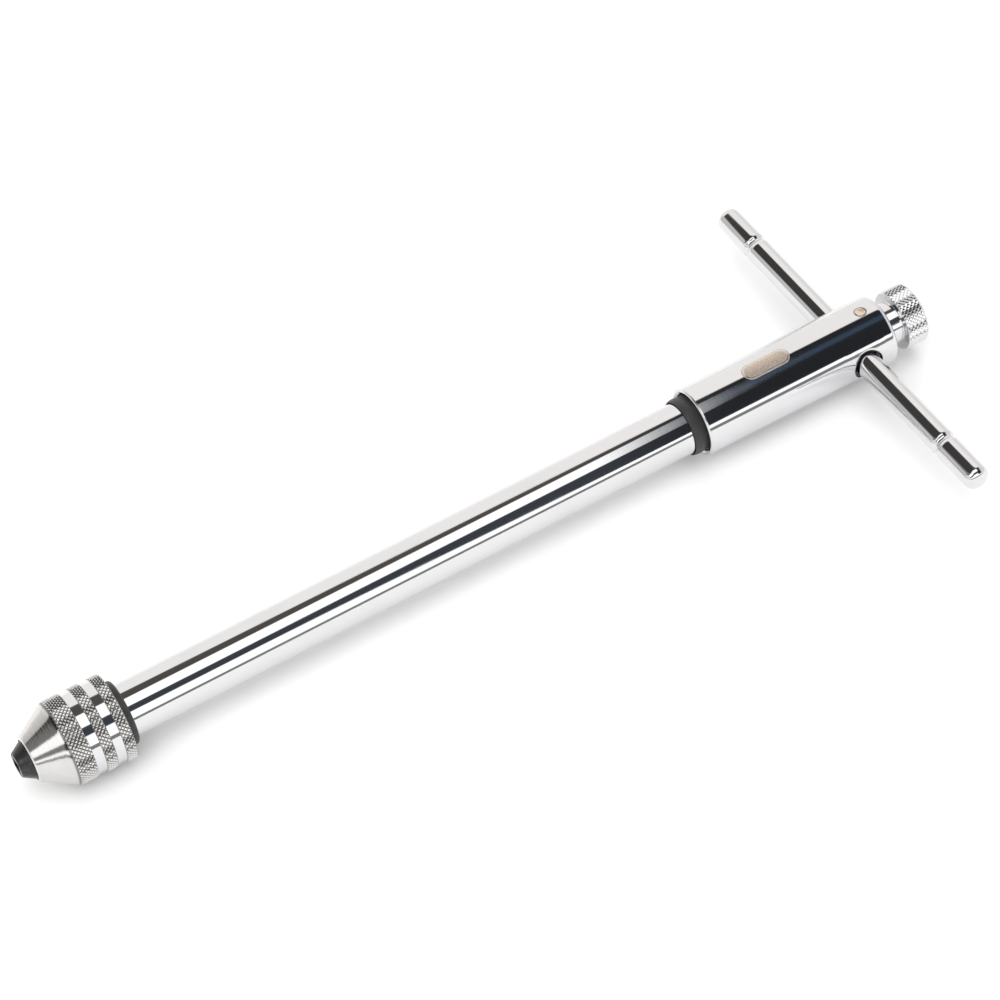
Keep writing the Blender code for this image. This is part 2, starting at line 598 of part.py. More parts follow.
def make_pawls():
    """Two mirrored pawls on their pins, each with a torsion spring behind it."""
    spring_front = PAWL_REAR + 2 * FIT
    spring_rear = CHAMBER_REAR - 2 * FIT
    for word, side in (("a", 1), ("b", -1)):
        x, y = pivot(side)
        pawl = plate(f"pawl_{word}", pawl_outline(side), PAWL_PIN_RADIUS + 0.2 * MM,
                     PAWL_REAR - PAWL_FRONT)
        as_part(pawl, "tool_steel", (x, y, (PAWL_FRONT + PAWL_REAR) / 2))
        pin = rod(f"pawl_pin_{word}", PAWL_PIN_RADIUS, FLANGE_REAR + FIT,
                  CHAMBER_REAR + PAWL_PIN_DEPTH, 16)
        as_part(pin, "tool_steel", (x, y, 0.0))
        spring = coil(f"pawl_spring_{word}", PAWL_SPRING_RADIUS, spring_rear - spring_front, 3)
        as_part(spring, "spring_steel", (x, y, (spring_front + spring_rear) / 2))


def make_selector():
    """The knob with its neck, and the stem, forked round the bar, with the detent in it."""
    edge = 0.5 * MM
    groove_half = PIN_TIP_RADIUS + FIT
    groove_front = SELECTOR_PIN_STATION - groove_half
    groove_rear = SELECTOR_PIN_STATION + groove_half
    stem_front = STEM_BORE_START + FIT
    neck_front = HEAD_REAR + FIT
    spigot_end = KNOB_FRONT + SELECTOR_SPIGOT_IN_KNOB
    knob_bore = CAM_SHAFT_RADIUS + PRESS
    knob = turned("selector_knob", [
        (spigot_end + PRESS, 0.0), (spigot_end + PRESS, knob_bore), (neck_front, knob_bore),
        (neck_front, NECK_RADIUS), (KNOB_FRONT, NECK_RADIUS), (KNOB_FRONT, KNOB_RADIUS - edge),
        (KNOB_FRONT + edge, KNOB_RADIUS), (KNOB_REAR - edge, KNOB_RADIUS), (KNOB_REAR, KNOB_RADIUS - edge),
        (KNOB_REAR, 0.0)])
    as_part(knob, "chrome")
    profile = solid(
        (SHAFT_END + 2 * FIT, CAM_SHAFT_RADIUS), (stem_front, CAM_SHAFT_RADIUS), (stem_front, STEM_RADIUS),
        (groove_front, STEM_RADIUS), (groove_front, PIN_GROOVE_RADIUS), (groove_rear, PIN_GROOVE_RADIUS),
        (groove_rear, STEM_RADIUS), (HEAD_REAR, STEM_RADIUS), (HEAD_REAR, CAM_SHAFT_RADIUS),
        (spigot_end, CAM_SHAFT_RADIUS))
    stem = as_part(turned("selector_stem", profile, segments=32), "tool_steel")
    reach = 2 * STEM_RADIUS
    half_window = BAR_RADIUS + 1.5 * FIT
    windows = [as_cutter(
        box(f"bar_window_cutter_{word}",
            (-reach, -BAR_HOLE_RADIUS, -half_window), (reach, BAR_HOLE_RADIUS, half_window)),
        (0.0, 0.0, BAR_STATION), (0.0, 0.0, side * SELECTOR_SWING))
        for word, side in (("low", -1), ("high", 1))]
    ball_radius = DETENT_BALL_RADIUS
    ball_hole = as_cutter(
        rod("selector_ball_cutter", ball_radius + PRESS, -reach, -SELECTOR_HOLE_FLOOR, 16),
        (0.0, 0.0, SELECTOR_BALL_STATION), POINTING_UP)
    cut(stem, *windows, ball_hole)
    ball_centre = STEM_RADIUS - ball_radius
    as_part(ball("selector_detent_ball", ball_radius), "tool_steel",
            (0.0, -ball_centre, SELECTOR_BALL_STATION))
    spring_low = SELECTOR_HOLE_FLOOR + FIT
    spring_high = ball_centre - ball_radius - FIT
    spring = coil("selector_detent_spring", SELECTOR_SPRING_RADIUS, spring_high - spring_low, 3,
                  SELECTOR_SPRING_WIRE_RADIUS)
    as_part(spring, "spring_steel", (0.0, -(spring_low + spring_high) / 2, SELECTOR_BALL_STATION),
            POINTING_UP)
    pin_edge = 0.25 * MM
    pin = turned("selector_pin", solid(
        (PIN_GROOVE_RADIUS + FIT, PIN_TIP_RADIUS), (PIN_SHOULDER, PIN_TIP_RADIUS),
        (PIN_SHOULDER, SELECTOR_PIN_RADIUS), (HEAD_RADIUS - pin_edge, SELECTOR_PIN_RADIUS),
        (HEAD_RADIUS, SELECTOR_PIN_RADIUS - pin_edge)), segments=FINE_SEGMENTS)
    as_part(pin, "brass", (0.0, 0.0, SELECTOR_PIN_STATION), POINTING_UP)


def make_bar():
    """The T-bar with its two ring grooves, the seals round it and the detent that holds it."""
    groove = BAR_HALF_LENGTH - BAR_GROOVE_FROM_END
    depth_centre = BAR_RADIUS - BAR_GROOVE_DEPTH + BAR_GROOVE_RADIUS
    open_angle = math.degrees(math.asin((depth_centre - BAR_RADIUS) / BAR_GROOVE_RADIUS))
    crown = 0.6 * MM
    middle = BAR_HALF_LENGTH - BAR_END_ROUND - crown
    half = arc(groove, depth_centre, BAR_GROOVE_RADIUS, 180 + open_angle, 360 - open_angle)
    half += arc(middle, BAR_RADIUS - BAR_END_ROUND, BAR_END_ROUND, 90, 15)
    half.append((BAR_HALF_LENGTH, 0.0))
    other = [(-station, radius) for station, radius in reversed(half)]
    bar = turned("t_bar", other + half, segments=24)
    as_part(bar, "chrome", (0.0, 0.0, BAR_STATION), ALONG_BAR)
    for word, side in (("left", 1), ("right", -1)):
        faces = sorted((side * BAR_SEAL_INNER_FACE, side * (BAR_SEAL_INNER_FACE + BAR_SEAL_WIDTH)))
        outer_radius = BAR_HOLE_RADIUS + BAR_SEAL_WALL
        seal = turned(f"bar_seal_{word}", [(face, outer_radius) for face in faces],
                      [(face, BAR_HOLE_RADIUS) for face in faces], 32)
        as_part(seal, "black_rubber", (0.0, 0.0, BAR_STATION), ALONG_BAR)
    ball_station = BAR_STATION - BAR_RADIUS - FIT - DETENT_BALL_RADIUS
    spring_rear = ball_station - DETENT_BALL_RADIUS - FIT
    plug_rear = (CHAMBER_REAR + spring_rear) / 2
    spring_front = plug_rear + FIT
    spring_middle = (spring_front + spring_rear) / 2
    as_part(ball("bar_detent_ball", DETENT_BALL_RADIUS), "tool_steel", (DETENT_OFFSET, 0.0, ball_station))
    as_part(coil("bar_detent_spring", BAR_SPRING_RADIUS, spring_rear - spring_front, 6), "spring_steel",
            (DETENT_OFFSET, 0.0, spring_middle))
    as_part(rod("bar_detent_plug", DETENT_BALL_RADIUS, CHAMBER_REAR + FIT, plug_rear, 16),
            "brass", (DETENT_OFFSET, 0.0, 0.0))


clear_scene()
parts = make_collection("tap_wrench")
cutters = make_collection("cutters")
tool_axis = bpy.data.objects.new("tool_axis", None)
parts.objects.link(tool_axis)
tool_axis.location = (-KNOB_REAR / 2, 0.0, AXIS_HEIGHT)
tool_axis.rotation_euler = (math.pi / 2, 0.0, math.pi / 2)

make_chuck_cap()
make_cap_ring()
make_jaws()
make_chuck_body()
make_spindle()
make_tube()
make_wheel()
make_dust_seal()
make_head()
make_head_inner_rings()
make_pawls()
make_selector()
make_bar()
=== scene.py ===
"""Looks of a long-reach ratchet tap wrench: turned and knurled surfaces, finishes, floor and light."""
import json
import math

import bmesh
import bpy
import numpy as np
from bpy.props import FloatProperty, FloatVectorProperty, IntProperty, PointerProperty
from mathutils import Euler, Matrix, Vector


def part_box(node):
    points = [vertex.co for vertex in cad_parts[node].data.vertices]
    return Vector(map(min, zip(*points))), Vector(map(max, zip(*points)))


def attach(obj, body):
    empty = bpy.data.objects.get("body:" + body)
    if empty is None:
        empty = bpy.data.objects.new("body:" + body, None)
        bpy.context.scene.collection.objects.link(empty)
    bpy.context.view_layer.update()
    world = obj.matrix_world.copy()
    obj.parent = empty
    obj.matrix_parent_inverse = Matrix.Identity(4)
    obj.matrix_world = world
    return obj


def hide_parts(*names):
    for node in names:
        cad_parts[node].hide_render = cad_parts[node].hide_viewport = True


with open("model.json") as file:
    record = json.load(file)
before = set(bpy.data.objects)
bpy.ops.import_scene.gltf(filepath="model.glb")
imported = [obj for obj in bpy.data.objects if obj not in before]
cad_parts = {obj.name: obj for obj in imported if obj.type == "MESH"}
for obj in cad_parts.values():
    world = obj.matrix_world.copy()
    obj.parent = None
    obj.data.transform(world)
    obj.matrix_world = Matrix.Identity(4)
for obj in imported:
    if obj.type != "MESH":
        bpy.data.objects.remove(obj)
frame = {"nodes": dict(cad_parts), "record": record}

bl_info = {
    "name": "Ratchet Tap Wrench",
    "version": (1, 0, 0),
    "blender": (4, 5, 0),
    "location": "View3D > Sidebar > Tap Wrench",
    "description": "Builds the visible surfaces, finishes and stage of a ratchet tap wrench",
    "category": "Object",
}

MM = 0.001
CLEARANCE = 0.3 * MM
NOSE_TAPER = math.tan(math.radians(20))
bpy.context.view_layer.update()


def span(node, axis):
    """Lowest and highest place of a CAD node along one axis, 0 for x, 1 for y and 2 for z."""
    low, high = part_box(node)
    return low[axis], high[axis]


def half_span(node, axis):
    low, high = span(node, axis)
    return (high - low) / 2


def middle_of(node, axis):
    return sum(span(node, axis)) / 2


AXIS_HEIGHT = middle_of("head_body", 2)
NOSE = span("jaw_left", 0)[0]
CAP_FRONT, CAP_REAR = span("chuck_cap", 0)
CAP_RADIUS = half_span("chuck_cap", 2)
RING_FRONT, RING_REAR = span("cap_ring", 0)
RING_RADIUS = half_span("cap_ring", 2)
TUBE_FRONT, TUBE_REAR = span("extension_tube", 0)
TUBE_RADIUS = half_span("extension_tube", 2)
SEAL_FRONT, SEAL_REAR = span("dust_seal", 0)
SEAL_RADIUS = half_span("dust_seal", 2)
HEAD_FRONT, HEAD_REAR = span("head_body", 0)
HEAD_RADIUS = half_span("head_body", 2)
KNOB_FRONT, KNOB_REAR = span("selector_knob", 0)
KNOB_RADIUS = half_span("selector_knob", 2)
BAR_RADIUS = half_span("t_bar", 2)
BAR_HALF_LENGTH = half_span("t_bar", 1)
BAR_STATION = middle_of("t_bar", 0)
PIN_STATION = middle_of("selector_pin", 0)
PIN_LOW, PIN_HIGH = span("selector_pin", 2)
PIN_RADIUS = half_span("selector_pin", 0)
JAW_REAR = span("jaw_left", 0)[1]


def length(name, description, default, **options):
    return FloatProperty(name=name, description=description, default=default, unit="LENGTH",
                         precision=5, **options)


def tint(name, description, default):
    return FloatVectorProperty(name=name, description=description, default=default, subtype="COLOR",
                               size=3, min=0.0, max=1.0)


class ChuckSizes(bpy.types.PropertyGroup):
    """Sizes of the chuck cap, its ring and the jaws."""
    cone: length("Cone", "Length of the smooth cone in front", 10.2 * MM)
    bands: FloatVectorProperty(name="Knurled Bands", description="Lengths of the bands, front to rear",
                               default=(5.0 * MM, 3.4 * MM, 3.3 * MM), unit="LENGTH", precision=5)
    groove: length("Groove Width", "Width of each groove between the bands", 2.8 * MM)
    groove_depth: length("Groove Depth", "Depth of each groove under the bands", 0.4 * MM)
    mouth: length("Mouth Radius", "Radius of the hole that the jaws come out of", 6.2 * MM)
    rim: length("Rim Width", "Width of the bright rim round the mouth", 0.5 * MM)
    bore: length("Bore Radius", "Radius of the wide part of the bore", 9.4 * MM)
    thread: length("Thread Radius", "Radius of the threaded part of the bore", 8.4 * MM)
    edge: length("Edge", "Size of the small chamfers", 0.35 * MM)
    teeth: IntProperty(name="Knurl Teeth", description="Diamonds round the cap", default=60, min=24)
    knurl_depth: length("Knurl Depth", "Depth of the knurl's grooves", 0.38 * MM)
    ring_edge: length("Ring Bevel", "Bevel at the ring's rear edge", 0.5 * MM)
    nose_radius: length("Nose Radius", "Radius of the jaws at their tip", 3.75 * MM)
    jaw_rim: length("Jaw Rim Radius", "Radius of the jaws where they leave the cap", 5.9 * MM)
    jaw_gap: length("Jaw Gap", "Gap between the jaws", 0.8 * MM)
    square: length("Square", "Side of the square socket between the jaws", 4.4 * MM)
    socket_depth: length("Socket Depth", "Depth of the square socket", 11.0 * MM)
    tail_width: length("Tail Width", "Width of the jaws' tails across the flats", 7.8 * MM)


class HeadSizes(bpy.types.PropertyGroup):
    """Sizes of the ratchet head, its holes and its mark."""
    lip: length("Lip", "Chamfer round the front of the head", 0.6 * MM)
    mouth: length("Mouth", "Chamfer inside the front of the head", 0.7 * MM)
    rear_round: length("Rear Round", "Round of the rear edge", 1.8 * MM)
    chamber: length("Chamber Radius", "Radius of the wide bore", 9.3 * MM)
    chamber_rear: length("Chamber End", "From the head's rear to the end of the chamber", 36.3 * MM)
    web: length("Web", "Length of the solid web behind the chamber", 10.0 * MM)
    cam_bore: length("Cam Bore Radius", "Radius of the hole through the web", 3.5 * MM)
    stem_bore: length("Stem Bore Radius", "Radius of the bore round the selector stem", 6.2 * MM)
    bar_hole: length("Bar Hole Radius", "Radius of the cross hole for the bar", 4.3 * MM)
    seat: length("Seal Seat Radius", "Radius of the recess round the bar's seal", 4.9 * MM)
    seat_floor: length("Seal Seat Floor", "Distance of the recess's floor from the axis", 8.7 * MM)
    hole_edge: length("Hole Edge", "Bright chamfer round the bar's hole", 0.3 * MM)
    mark_station: length("Mark Station", "From the head's front to the middle of the mark", 25.4 * MM)
    mark_length: length("Mark Length", "Length of the plain mark", 16.0 * MM)
    mark_width: length("Mark Width", "Width of the plain mark", 5.6 * MM)
    mark_side: length("Mark Side", "Distance of the mark's middle from the top of the head", 1.2 * MM)


class HandleSizes(bpy.types.PropertyGroup):
    """Sizes of the bar and the selector knob."""
    groove_station: length("Bar Groove Station", "From the bar's middle to each ring groove", 49.7 * MM)
    groove_round: length("Bar Groove Round", "Radius of the ring groove's section", 1.3 * MM)
    groove_depth: length("Bar Groove Depth", "Depth of the ring groove", 0.55 * MM)
    end_round: length("Bar End Round", "Round of the bar's ends", 2.6 * MM)
    crown: length("Bar Crown", "Rise of the bar's slightly domed ends", 0.6 * MM)
    neck: length("Neck Radius", "Radius of the knob's neck", 6.6 * MM)
    neck_length: length("Neck Length", "Length of the neck in front of the knob", 4.4 * MM)
    knob_edge: length("Knob Edge", "Chamfer of the knob's edges", 0.5 * MM)
    teeth: IntProperty(name="Knurl Teeth", description="Diamonds round the knob", default=42, min=24)
    knurl_depth: length("Knurl Depth", "Depth of the knurl's grooves", 0.36 * MM)
    spigot: length("Spigot Radius", "Radius of the blind bore for the stem", 3.35 * MM)
    spigot_depth: length("Spigot Depth", "Depth of the blind bore from the neck's front", 6.55 * MM)


class FinishSettings(bpy.types.PropertyGroup):
    """Colours of the finishes."""
    chrome: tint("Chrome", "Polished plate of tube, head, bar and knob", (0.70, 0.70, 0.71))
    nickel: tint("Satin Nickel", "Turned plate of the chuck cap", (0.76, 0.75, 0.735))
    oxide: tint("Black Oxide", "Blackened jaws", (0.030, 0.030, 0.031))
    rubber: tint("Rubber", "Seals and ring", (0.020, 0.020, 0.021))
    steel: tint("Machined Steel", "Inner turned pieces", (0.46, 0.46, 0.47))
    spring: tint("Spring Steel", "Springs and clips", (0.30, 0.30, 0.32))
    brass: tint("Brass", "Pin, bush and plug", (0.74, 0.61, 0.49))
    mark: tint("Mark", "Plain etched mark on the head", (0.84, 0.71, 0.60))
    floor: tint("Floor", "Pale floor", (0.90, 0.90, 0.90))


def new_object(name, data):
    item = bpy.data.objects.new(name, data)
    bpy.context.scene.collection.objects.link(item)
    return item


# Surfaces

def eased(corners, cuts, steps=4):
    """A chain of corner points with its corners eased.

    Where the cut is c, the corner P gives way to the parabola (1-s)^2 A + 2 s (1-s) P + s^2 B, with A
    and B at a distance c before and after it.
    """
    points = np.array(corners, float)
    rows = []
    s = np.linspace(0.0, 1.0, steps + 1)[:, None]
    for i, cut in enumerate(cuts):
        corner = points[i]
        if not cut:
            rows.append(corner[None])
            continue
        before = points[i - 1] - corner
        after = points[(i + 1) % len(points)] - corner
        start = corner + before * min(cut / np.linalg.norm(before), 0.5)
        end = corner + after * min(cut / np.linalg.norm(after), 0.5)
        rows.append((1 - s) ** 2 * start + 2 * s * (1 - s) * corner + s ** 2 * end)
    return np.concatenate(rows)


def circle_arc(station, radius, size, start, end, steps=8):
    """Points of a round at (station + size cos a, radius + size sin a), angles in degrees."""
    a = np.radians(np.linspace(start, end, steps + 1))
    return np.stack([station + size * np.cos(a), radius + size * np.sin(a)], 1)


def level(stations, radius):
    """Profile points at one radius."""
    return np.stack([stations, np.full(len(stations), radius)], 1)


def turned_points(profile, columns, axis, centre, relief=None):
    """Lattice of a turned surface.

    At profile point (s, r) and angle a it lies s along the axis and r out from it in the direction
    (sin a, cos a) of the other two axes.  relief, an array of rows by columns, is added to r.
    """
    profile = np.asarray(profile, float)
    a = np.linspace(0.0, math.tau, columns, endpoint=False)
    s = np.repeat(profile[:, :1], columns, 1)
    r = np.repeat(profile[:, 1:], columns, 1)
    if relief is not None:
        r = r + relief
    first, second = [i for i in range(3) if i != axis]
    points = np.empty(s.shape + (3,))
    points[..., axis] = s
    points[..., first] = centre[0] + r * np.sin(a)
    points[..., second] = centre[1] + r * np.cos(a)
    return points


def lattice_faces(rows, columns, ring):
    """Quads of a lattice that closes round its columns, and round its rows as well if ring is true."""
    i = np.arange(rows if ring else rows - 1)[:, None]
    j = np.arange(columns)[None, :]
    here, below = i * columns, (i + 1) % rows * columns
    right = (j + 1) % columns
    return np.stack([here + j, here + right, below + right, below + j], -1)


def split_quads(faces, odd):
    """Two triangles for each quad, along its second diagonal where odd is true."""
    a, b, c, d = (faces[..., k] for k in range(4))
    plain = np.stack([np.stack([a, b, c], -1), np.stack([a, c, d], -1)], -2)
    other = np.stack([np.stack([a, b, d], -1), np.stack([b, c, d], -1)], -2)
    return np.where(odd[..., None, None], other, plain).reshape(-1, 3)


def diamond_relief(turn, travel, depth):
    """Knurl of pyramids: two families of straight grooves, u = turn + travel and v = turn - travel.

    With t(w) the height of a triangle wave that is 0 on a groove and 1 halfway to the next, the relief
    is depth times min(t(u), t(v)) - 1.
    """
    def wave(w):
        return 1 - np.abs(2 * (w - np.floor(w)) - 1)
    return depth * (np.minimum(wave(turn + travel), wave(turn - travel)) - 1)


def hole_ring(station, side, radius, turn, height):
    """Ring of a radial hole: turned to angle side round the tool, at the given height from the axis."""
    out = np.array([0.0, math.sin(side), math.cos(side)])
    across = np.array([0.0, math.cos(side), -math.sin(side)])
    height = np.broadcast_to(height, turn.shape)
    points = np.outer(radius * np.sin(turn), across) + np.outer(height, out)
    points[:, 0] += station + radius * np.cos(turn)
    points[:, 2] += AXIS_HEIGHT
    return points


def saddle(wall, radius, turn):
    """Height at which a radial hole of this radius meets a cylinder: sqrt(wall^2 - (radius sin t)^2)."""
    return np.sqrt(wall ** 2 - (radius * np.sin(turn)) ** 2)


def border_of(rows, columns):
    """Index pairs round the edge of a rectangle of cells, and each one's direction from its middle."""
    up = np.arange(rows)
    along = np.arange(columns)
    i = np.concatenate([up, np.full(columns, rows), rows - up, np.zeros(columns, int)])
    j = np.concatenate([np.zeros(rows, int), along, np.full(rows, columns), columns - along])
    turn = np.arctan2(2 * j / columns - 1, 2 * i / rows - 1)
    return i, j, turn


def hole_patch(wall, stations, angles, station, side, radius, turn, rings=7):
    """Lattice from a hole's edge to the border of its rectangle.

    In the plane of x and angle each point runs straight from the hole's edge to the border point in the
    same direction.
    """
    s = (np.linspace(0.0, 1.0, rings + 1) ** 1.3)[:, None]
    edge_station = station + radius * np.cos(turn)
    edge_angle = side + np.arcsin(radius * np.sin(turn) / wall)
    x = edge_station + (stations - edge_station) * s
    a = edge_angle + (angles - edge_angle) * s
    return np.stack([x, wall * np.sin(a), AXIS_HEIGHT + wall * np.cos(a)], -1)


class Shell:
    """Vertices and faces of a piece as they are put together."""

    def __init__(self):
        self.points = []
        self.faces = []
        self.count = 0

    def add(self, points, faces):
        points = points.reshape(-1, 3)
        self.points.append(points)
        self.faces.append(faces.reshape(-1, faces.shape[-1]) + self.count)
        self.count += len(points)

    def add_rings(self, rings):
        """Stack of closed rings joined one to the next."""
        rings = np.stack(rings)
        self.add(rings, lattice_faces(rings.shape[0], rings.shape[1], False))

    def piece(self, name, material, body, nodes, sharp=32.0):
        """Join the doubles, turn the faces outwards and hand the piece over to its body and slot."""
        mesh = bpy.data.meshes.new(name)
        faces = [face for block in self.faces for face in block.tolist()]
        mesh.from_pydata(np.concatenate(self.points), [], faces)
        work = bmesh.new()
        work.from_mesh(mesh)
        bmesh.ops.remove_doubles(work, verts=work.verts, dist=0.002 * MM)
        bmesh.ops.recalc_face_normals(work, faces=work.faces)
        if not all(edge.is_manifold for edge in work.edges):
            raise RuntimeError(f"{name} isn't closed")
        work.to_mesh(mesh)
        work.free()
        mesh.shade_smooth()
        mesh.set_sharp_from_angle(angle=math.radians(sharp))
        mesh.materials.append(material)
        item = new_object(name, mesh)
        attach(item, body)
        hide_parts(*nodes)


def turned_piece(name, profile, columns, axis, centre, ring, material, body, node, sharp=32.0):
    """A plain turned piece: a closed ring of profile, or one whose ends lie on the axis."""
    shell = Shell()
    points = turned_points(profile, columns, axis, centre)
    shell.add(points, lattice_faces(points.shape[0], columns, ring))
    shell.piece(name, material, body, [node], sharp)


def knurled_piece(name, sections, radius, teeth, depth, ring, material, body, node):
    """A turned piece with knurled stretches.

    sections is a list of (profile, knurled).  A knurled stretch is cut into rows an eighth of the knurl's
    pitch apart, so that the pyramids' ridges and grooves fall on edges; its radius is the smaller of the
    profile's and radius + relief, so the grooves run out where the profile falls away.
    """
    columns = 8 * teeth
    step = math.tau * radius / columns
    rows, phases, knurled = [], [], []
    for profile, has_knurl in sections:
        profile = np.asarray(profile, float)
        phase = np.zeros(len(profile))
        if has_knurl:
            start, end = profile[0, 0], profile[-1, 0]
            stations = np.append(np.arange(start, end - 0.3 * step, step), end)
            phase = (stations - start) / step
            profile = np.stack([stations, np.interp(stations, profile[:, 0], profile[:, 1])], 1)
        rows.append(profile)
        phases.append(phase)
        knurled.append(np.full(len(profile), has_knurl))
    profile = np.concatenate(rows)
    phase = np.concatenate(phases)[:, None]
    knurled = np.concatenate(knurled)[:, None]
    column = np.arange(columns)[None, :]
    height = radius + diamond_relief(column / 8, phase / 8, depth)
    relief = np.where(knurled, np.minimum(height - profile[:, 1:], 0.0), 0.0)
    points = turned_points(profile, columns, 0, (0.0, AXIS_HEIGHT), relief)
    faces = lattice_faces(len(profile), columns, ring)
    odd = (column + np.floor(phase + 0.01).astype(int)) % 2 == 1
    shell = Shell()
    shell.add(points, split_quads(faces, np.broadcast_to(odd[:len(faces)], faces.shape[:2])))
    shell.piece(name, material, body, [node], sharp=24.0)


# Finishes

def arithmetic(operation):
    """An operator of Value and its reflected form."""
    def plain(value, other):
        return value.math(operation, value, other)

    def reflected(value, other):
        return value.math(operation, other, value)
    return plain, reflected


class Value:
    """A number on a socket: arithmetic on it adds Math nodes to its tree."""

    def __init__(self, shading, socket):
        self.shading = shading
        self.socket = socket

    def math(self, operation, *operands):
        return self.shading.value("ShaderNodeMath", {"operation": operation}, dict(enumerate(operands)))

    __add__, __radd__ = arithmetic("ADD")
    __sub__, __rsub__ = arithmetic("SUBTRACT")
    __mul__, __rmul__ = arithmetic("MULTIPLY")

    def __abs__(self):
        return self.math("ABSOLUTE", self)

    def __neg__(self):
        return self.math("MULTIPLY", self, -1.0)

    def root(self):
        return self.math("SQRT", self)

    def least(self, other):
        return self.math("MINIMUM", self, other)

    def most(self, other):
        return self.math("MAXIMUM", self, other)

    def rise(self, low, high):
        """0 below low, 1 above high and smooth between them."""
        return self.shading.value(
            "ShaderNodeMapRange", {"interpolation_type": "SMOOTHSTEP"},
            {"Value": self, "From Min": low, "From Max": high, "To Min": 0.0, "To Max": 1.0}, "Result")

    def ramp(self, low, high, start, end):
        """start below low, end above high and straight between them."""
        return self.shading.value(
            "ShaderNodeMapRange", {"clamp": True},
            {"Value": self, "From Min": low, "From Max": high, "To Min": start, "To Max": end}, "Result")


class Shading:
    """A node tree under construction."""

    def __init__(self, tree):
        self.tree = tree

    def node(self, kind, settings=None, inputs=None):
        """Add a node of a kind: its settings are set first, then its sockets get values or links."""
        node = self.tree.nodes.new(kind)
        for name, setting in (settings or {}).items():
            setattr(node, name, setting)
        for key, value in (inputs or {}).items():
            socket = node.inputs[key]
            if isinstance(value, Value):
                self.tree.links.new(value.socket, socket)
            elif isinstance(value, bpy.types.NodeSocket):
                self.tree.links.new(value, socket)
            else:
                socket.default_value = value
        return node

    def value(self, kind, settings=None, inputs=None, output=0):
        return Value(self, self.node(kind, settings, inputs).outputs[output])

    def place(self, scale=(1.0, 1.0, 1.0)):
        """Object coordinates in metres, stretched by scale."""
        coordinates = self.node("ShaderNodeTexCoord").outputs["Object"]
        return self.node("ShaderNodeMapping", None, {"Vector": coordinates, "Scale": scale}).outputs[0]

    def parts(self, vector):
        node = self.node("ShaderNodeSeparateXYZ", None, {"Vector": vector})
        return [Value(self, node.outputs[i]) for i in range(3)]

    def grain(self, scale, detail=3.0, roughness=0.55):
        """Noise from 0 to 1 with the given number of cells per metre along x, y and z."""
        return self.value("ShaderNodeTexNoise", None, {
            "Vector": self.place(scale), "Scale": 1.0, "Detail": detail, "Roughness": roughness})

    def blend(self, factor, first, second):
        """Mix of two colours."""
        node = self.node("ShaderNodeMix", {"data_type": "RGBA"}, {"Factor": factor})
        for socket, colour in ((node.inputs[6], first), (node.inputs[7], second)):
            if isinstance(colour, bpy.types.NodeSocket):
                self.tree.links.new(colour, socket)
            else:
                socket.default_value = (*colour, 1.0)
        return node.outputs[2]

    def bump(self, height, strength, distance):
        return self.node("ShaderNodeBump", None,
                         {"Strength": strength, "Distance": distance, "Height": height}).outputs[0]


def shade(colour, factor):
    return tuple(min(c * factor, 1.0) for c in colour)


def new_finish(name, metallic, build, **constants):
    """A Principled material.  build gives what varies over the surface: colour, roughness and normal."""
    material = bpy.data.materials.new(name)
    material.use_nodes = True
    shading = Shading(material.node_tree)
    shader = material.node_tree.nodes["Principled BSDF"]
    shader.inputs["Metallic"].default_value = metallic
    for key, value in constants.items():
        shader.inputs[key.replace("_", " ")].default_value = value
    for key, value in build(shading).items():
        socket = value.socket if isinstance(value, Value) else value
        shading.tree.links.new(socket, shader.inputs[key])
    return material


def chrome_finish(name, colour, lines, roughness=0.045):
    """Polished plate: faint smears, hairline polishing marks across the given cells per metre."""
    def build(shading):
        smears = shading.grain((38.0, 60.0, 60.0), 3.0).rise(0.42, 0.72)
        hairs = shading.grain(lines, 2.0)
        specks = shading.grain((900.0, 900.0, 900.0), 2.0).rise(0.66, 0.80)
        tone = smears * 0.35 + specks * 0.25
        return {
            "Base Color": shading.blend(tone, colour, shade(colour, 0.90)),
            "Roughness": roughness + smears * 0.035 + hairs * 0.02 + specks * 0.05,
            "Normal": shading.bump(hairs + specks * 0.4, 0.05, 0.02 * MM),
        }
    return new_finish(name, 1.0, build)


def head_chrome_finish(name, colour, mark_colour, sizes, lines):
    """Polished plate of the head, with a plain etched mark: a rounded bar inside a thin line."""
    def build(shading):
        smears = shading.grain((34.0, 52.0, 52.0), 3.0).rise(0.42, 0.72)
        hairs = shading.grain(lines, 2.0)
        x, y, z = shading.parts(shading.place())
        along = abs(x - (HEAD_FRONT + sizes.mark_station))
        straight = sizes.mark_length / 2 - sizes.mark_width / 2
        beyond = (along - straight).most(0.0)
        side = y + sizes.mark_side
        away = (beyond * beyond + side * side).root()
        inside = away.ramp(sizes.mark_width / 2 - 0.06 * MM, sizes.mark_width / 2 + 0.06 * MM, 1.0, 0.0)
        line = abs(away - (sizes.mark_width / 2 - 0.55 * MM)).ramp(0.10 * MM, 0.20 * MM, 1.0, 0.0)
        mark = inside * z.rise(AXIS_HEIGHT, AXIS_HEIGHT + 1.0 * MM) * (1 - line * 0.75)
        etch = shading.grain((2600.0, 2600.0, 2600.0), 3.0)
        plate = shading.blend(smears * 0.35, colour, shade(colour, 0.90))
        etched = shading.blend(etch.rise(0.30, 0.75), shade(mark_colour, 0.62), mark_colour)
        return {
            "Base Color": shading.blend(mark, plate, etched),
            "Roughness": (0.045 + smears * 0.03 + hairs * 0.02) * (1 - mark) + mark * 0.42,
            "Normal": shading.bump(hairs * (1 - mark) * 0.5 + mark * (etch * 0.6 - 1.5), 0.12, 0.02 * MM),
        }
    return new_finish(name, 1.0, build)


